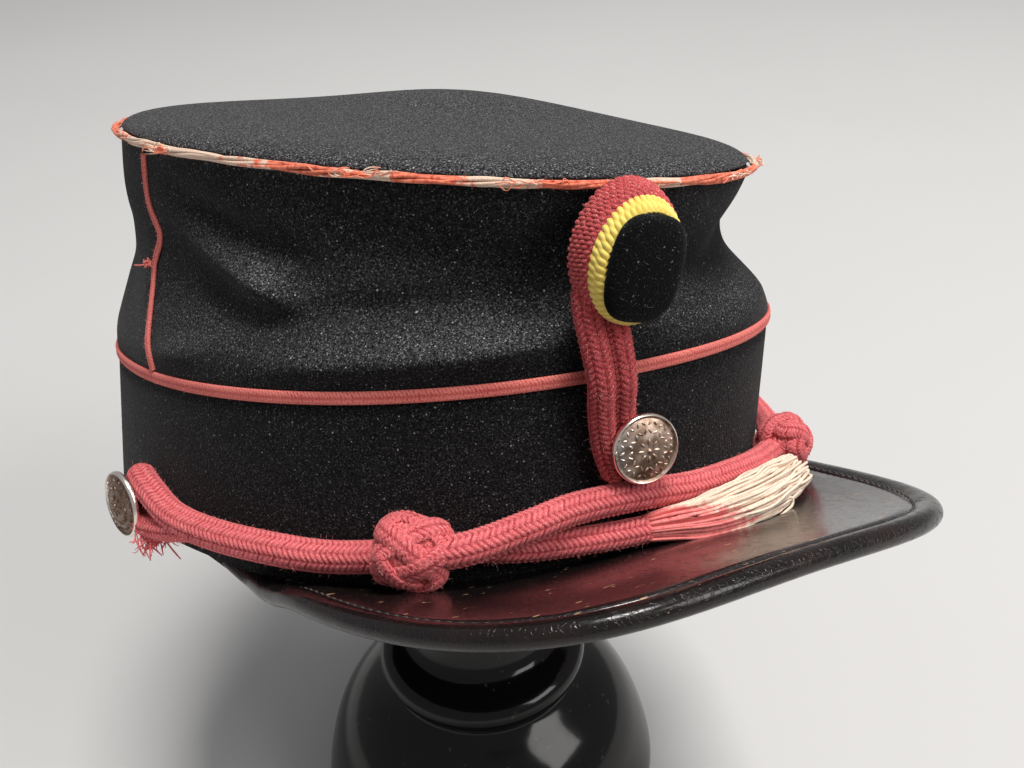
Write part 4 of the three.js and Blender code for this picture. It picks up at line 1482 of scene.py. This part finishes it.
WOOL_TINTS = ((0.8, 0.14, 0.15, 1), (0.98, 0.5, 0.46, 1))
LINT_TINTS = ((0.08, 0.08, 0.085, 1), (0.35, 0.34, 0.33, 1))
cords = [cord_right, cord_front, cord_left, knot_right, knot_left, tail, loop_right, loop_left]
trims = [band_braid, rope_winding] + side_braids
PIPING_TINTS = (PIPING_CREAM, PIPING_RED)
felts = [band, crown_wall, crown_top]
# Name, pieces, count, length, radius, how upright, tints and slot.
FLUFF = [
    ("cord_fluff", cords + eyes, 8400, 0.0008, 0.000026, 0.6, WOOL_TINTS, "red_wool"),
    ("trim_fluff", trims, 2400, 0.0006, 0.000025, 0.6, WOOL_TINTS, "red_wool"),
    ("piping_fluff", [piping], 2400, 0.0009, 0.00003, 0.9, PIPING_TINTS, "worn_piping"),
    ("felt_lint", felts, 2700, 0.0007, 0.00002, 0.3, LINT_TINTS, "black_felt"),
    ("cockade_lint", [cockade_face], 160, 0.0007, 0.00002, 0.5, LINT_TINTS, "black_felt"),
]
for seed, row in enumerate(FLUFF, 31):
    make_fibres(*row, seed)


# Floor and light: a plain pale floor, one soft key light overhead, a weaker light in front
# on the right, and a pale sky all round.
FLOOR_TONES = ((0.555, 0.55, 0.545, 1), (0.585, 0.58, 0.575, 1))
SKY = {"colour": (0.92, 0.93, 0.95, 1), "strength": 0.34}
LIGHTS = [
    {"name": "key", "at": (0.35, -0.1, 2.9), "size": 0.8, "power": 72, "tint": (1, 0.98, 0.95)},
    {"name": "fill", "at": (0.75, -1.1, 1.25), "size": 0.8, "power": 13, "tint": (1, 0.98, 0.96)},
]


def make_floor():
    bpy.ops.mesh.primitive_plane_add(size=6)
    floor = bpy.context.object
    floor.name = "floor"
    coat(floor, mottled("pale_floor", 0.8, 0.004, 2.0, FLOOR_TONES))


def make_lights():
    """Lamps and sky. The lamps face the middle of the cap."""
    aim = Vector((0, -0.02, 0.17))
    for row in LIGHTS:
        light = bpy.data.lights.new(row["name"], "AREA")
        light.energy = row["power"]
        light.size = row["size"]
        light.color = row["tint"]
        lamp = add_object(row["name"], light)
        lamp.location = row["at"]
        lamp.rotation_euler = (aim - lamp.location).to_track_quat("-Z", "Y").to_euler()
    world = bpy.data.worlds.new("studio")
    world.use_nodes = True
    sky = world.node_tree.nodes["Background"]
    sky.inputs["Color"].default_value = SKY["colour"]
    sky.inputs["Strength"].default_value = SKY["strength"]
    bpy.context.scene.world = world
    bpy.context.scene.view_settings.view_transform = "Standard"


make_floor()
make_lights()


# Camera: in front of the cap's right side and a little above its top, as the cap sits.
CAMERA = {"at": (-0.1238, -0.2650, 0.0916), "turn": -30.12, "rise": 14.45, "roll": -2.97, "lens": 35.12}


def make_camera():
    turn = math.radians(CAMERA["turn"])
    rise = math.radians(CAMERA["rise"])
    roll = math.radians(CAMERA["roll"])
    back = Vector((math.sin(turn) * math.cos(rise), -math.cos(turn) * math.cos(rise), math.sin(rise)))
    level = (-back).cross(Vector((0, 0, 1))).normalized()
    upward = level.cross(-back)
    right = level * math.cos(roll) + upward * math.sin(roll)
    up = upward * math.cos(roll) - level * math.sin(roll)
    pose = Matrix((right, up, back)).transposed().to_4x4()
    pose.translation = CAMERA["at"]
    lens = bpy.data.cameras.new("camera")
    lens.lens = CAMERA["lens"]
    lens.clip_start = 0.01
    camera = add_object("camera", lens)
    camera.matrix_world = CAP @ pose
    bpy.context.scene.camera = camera


make_camera()
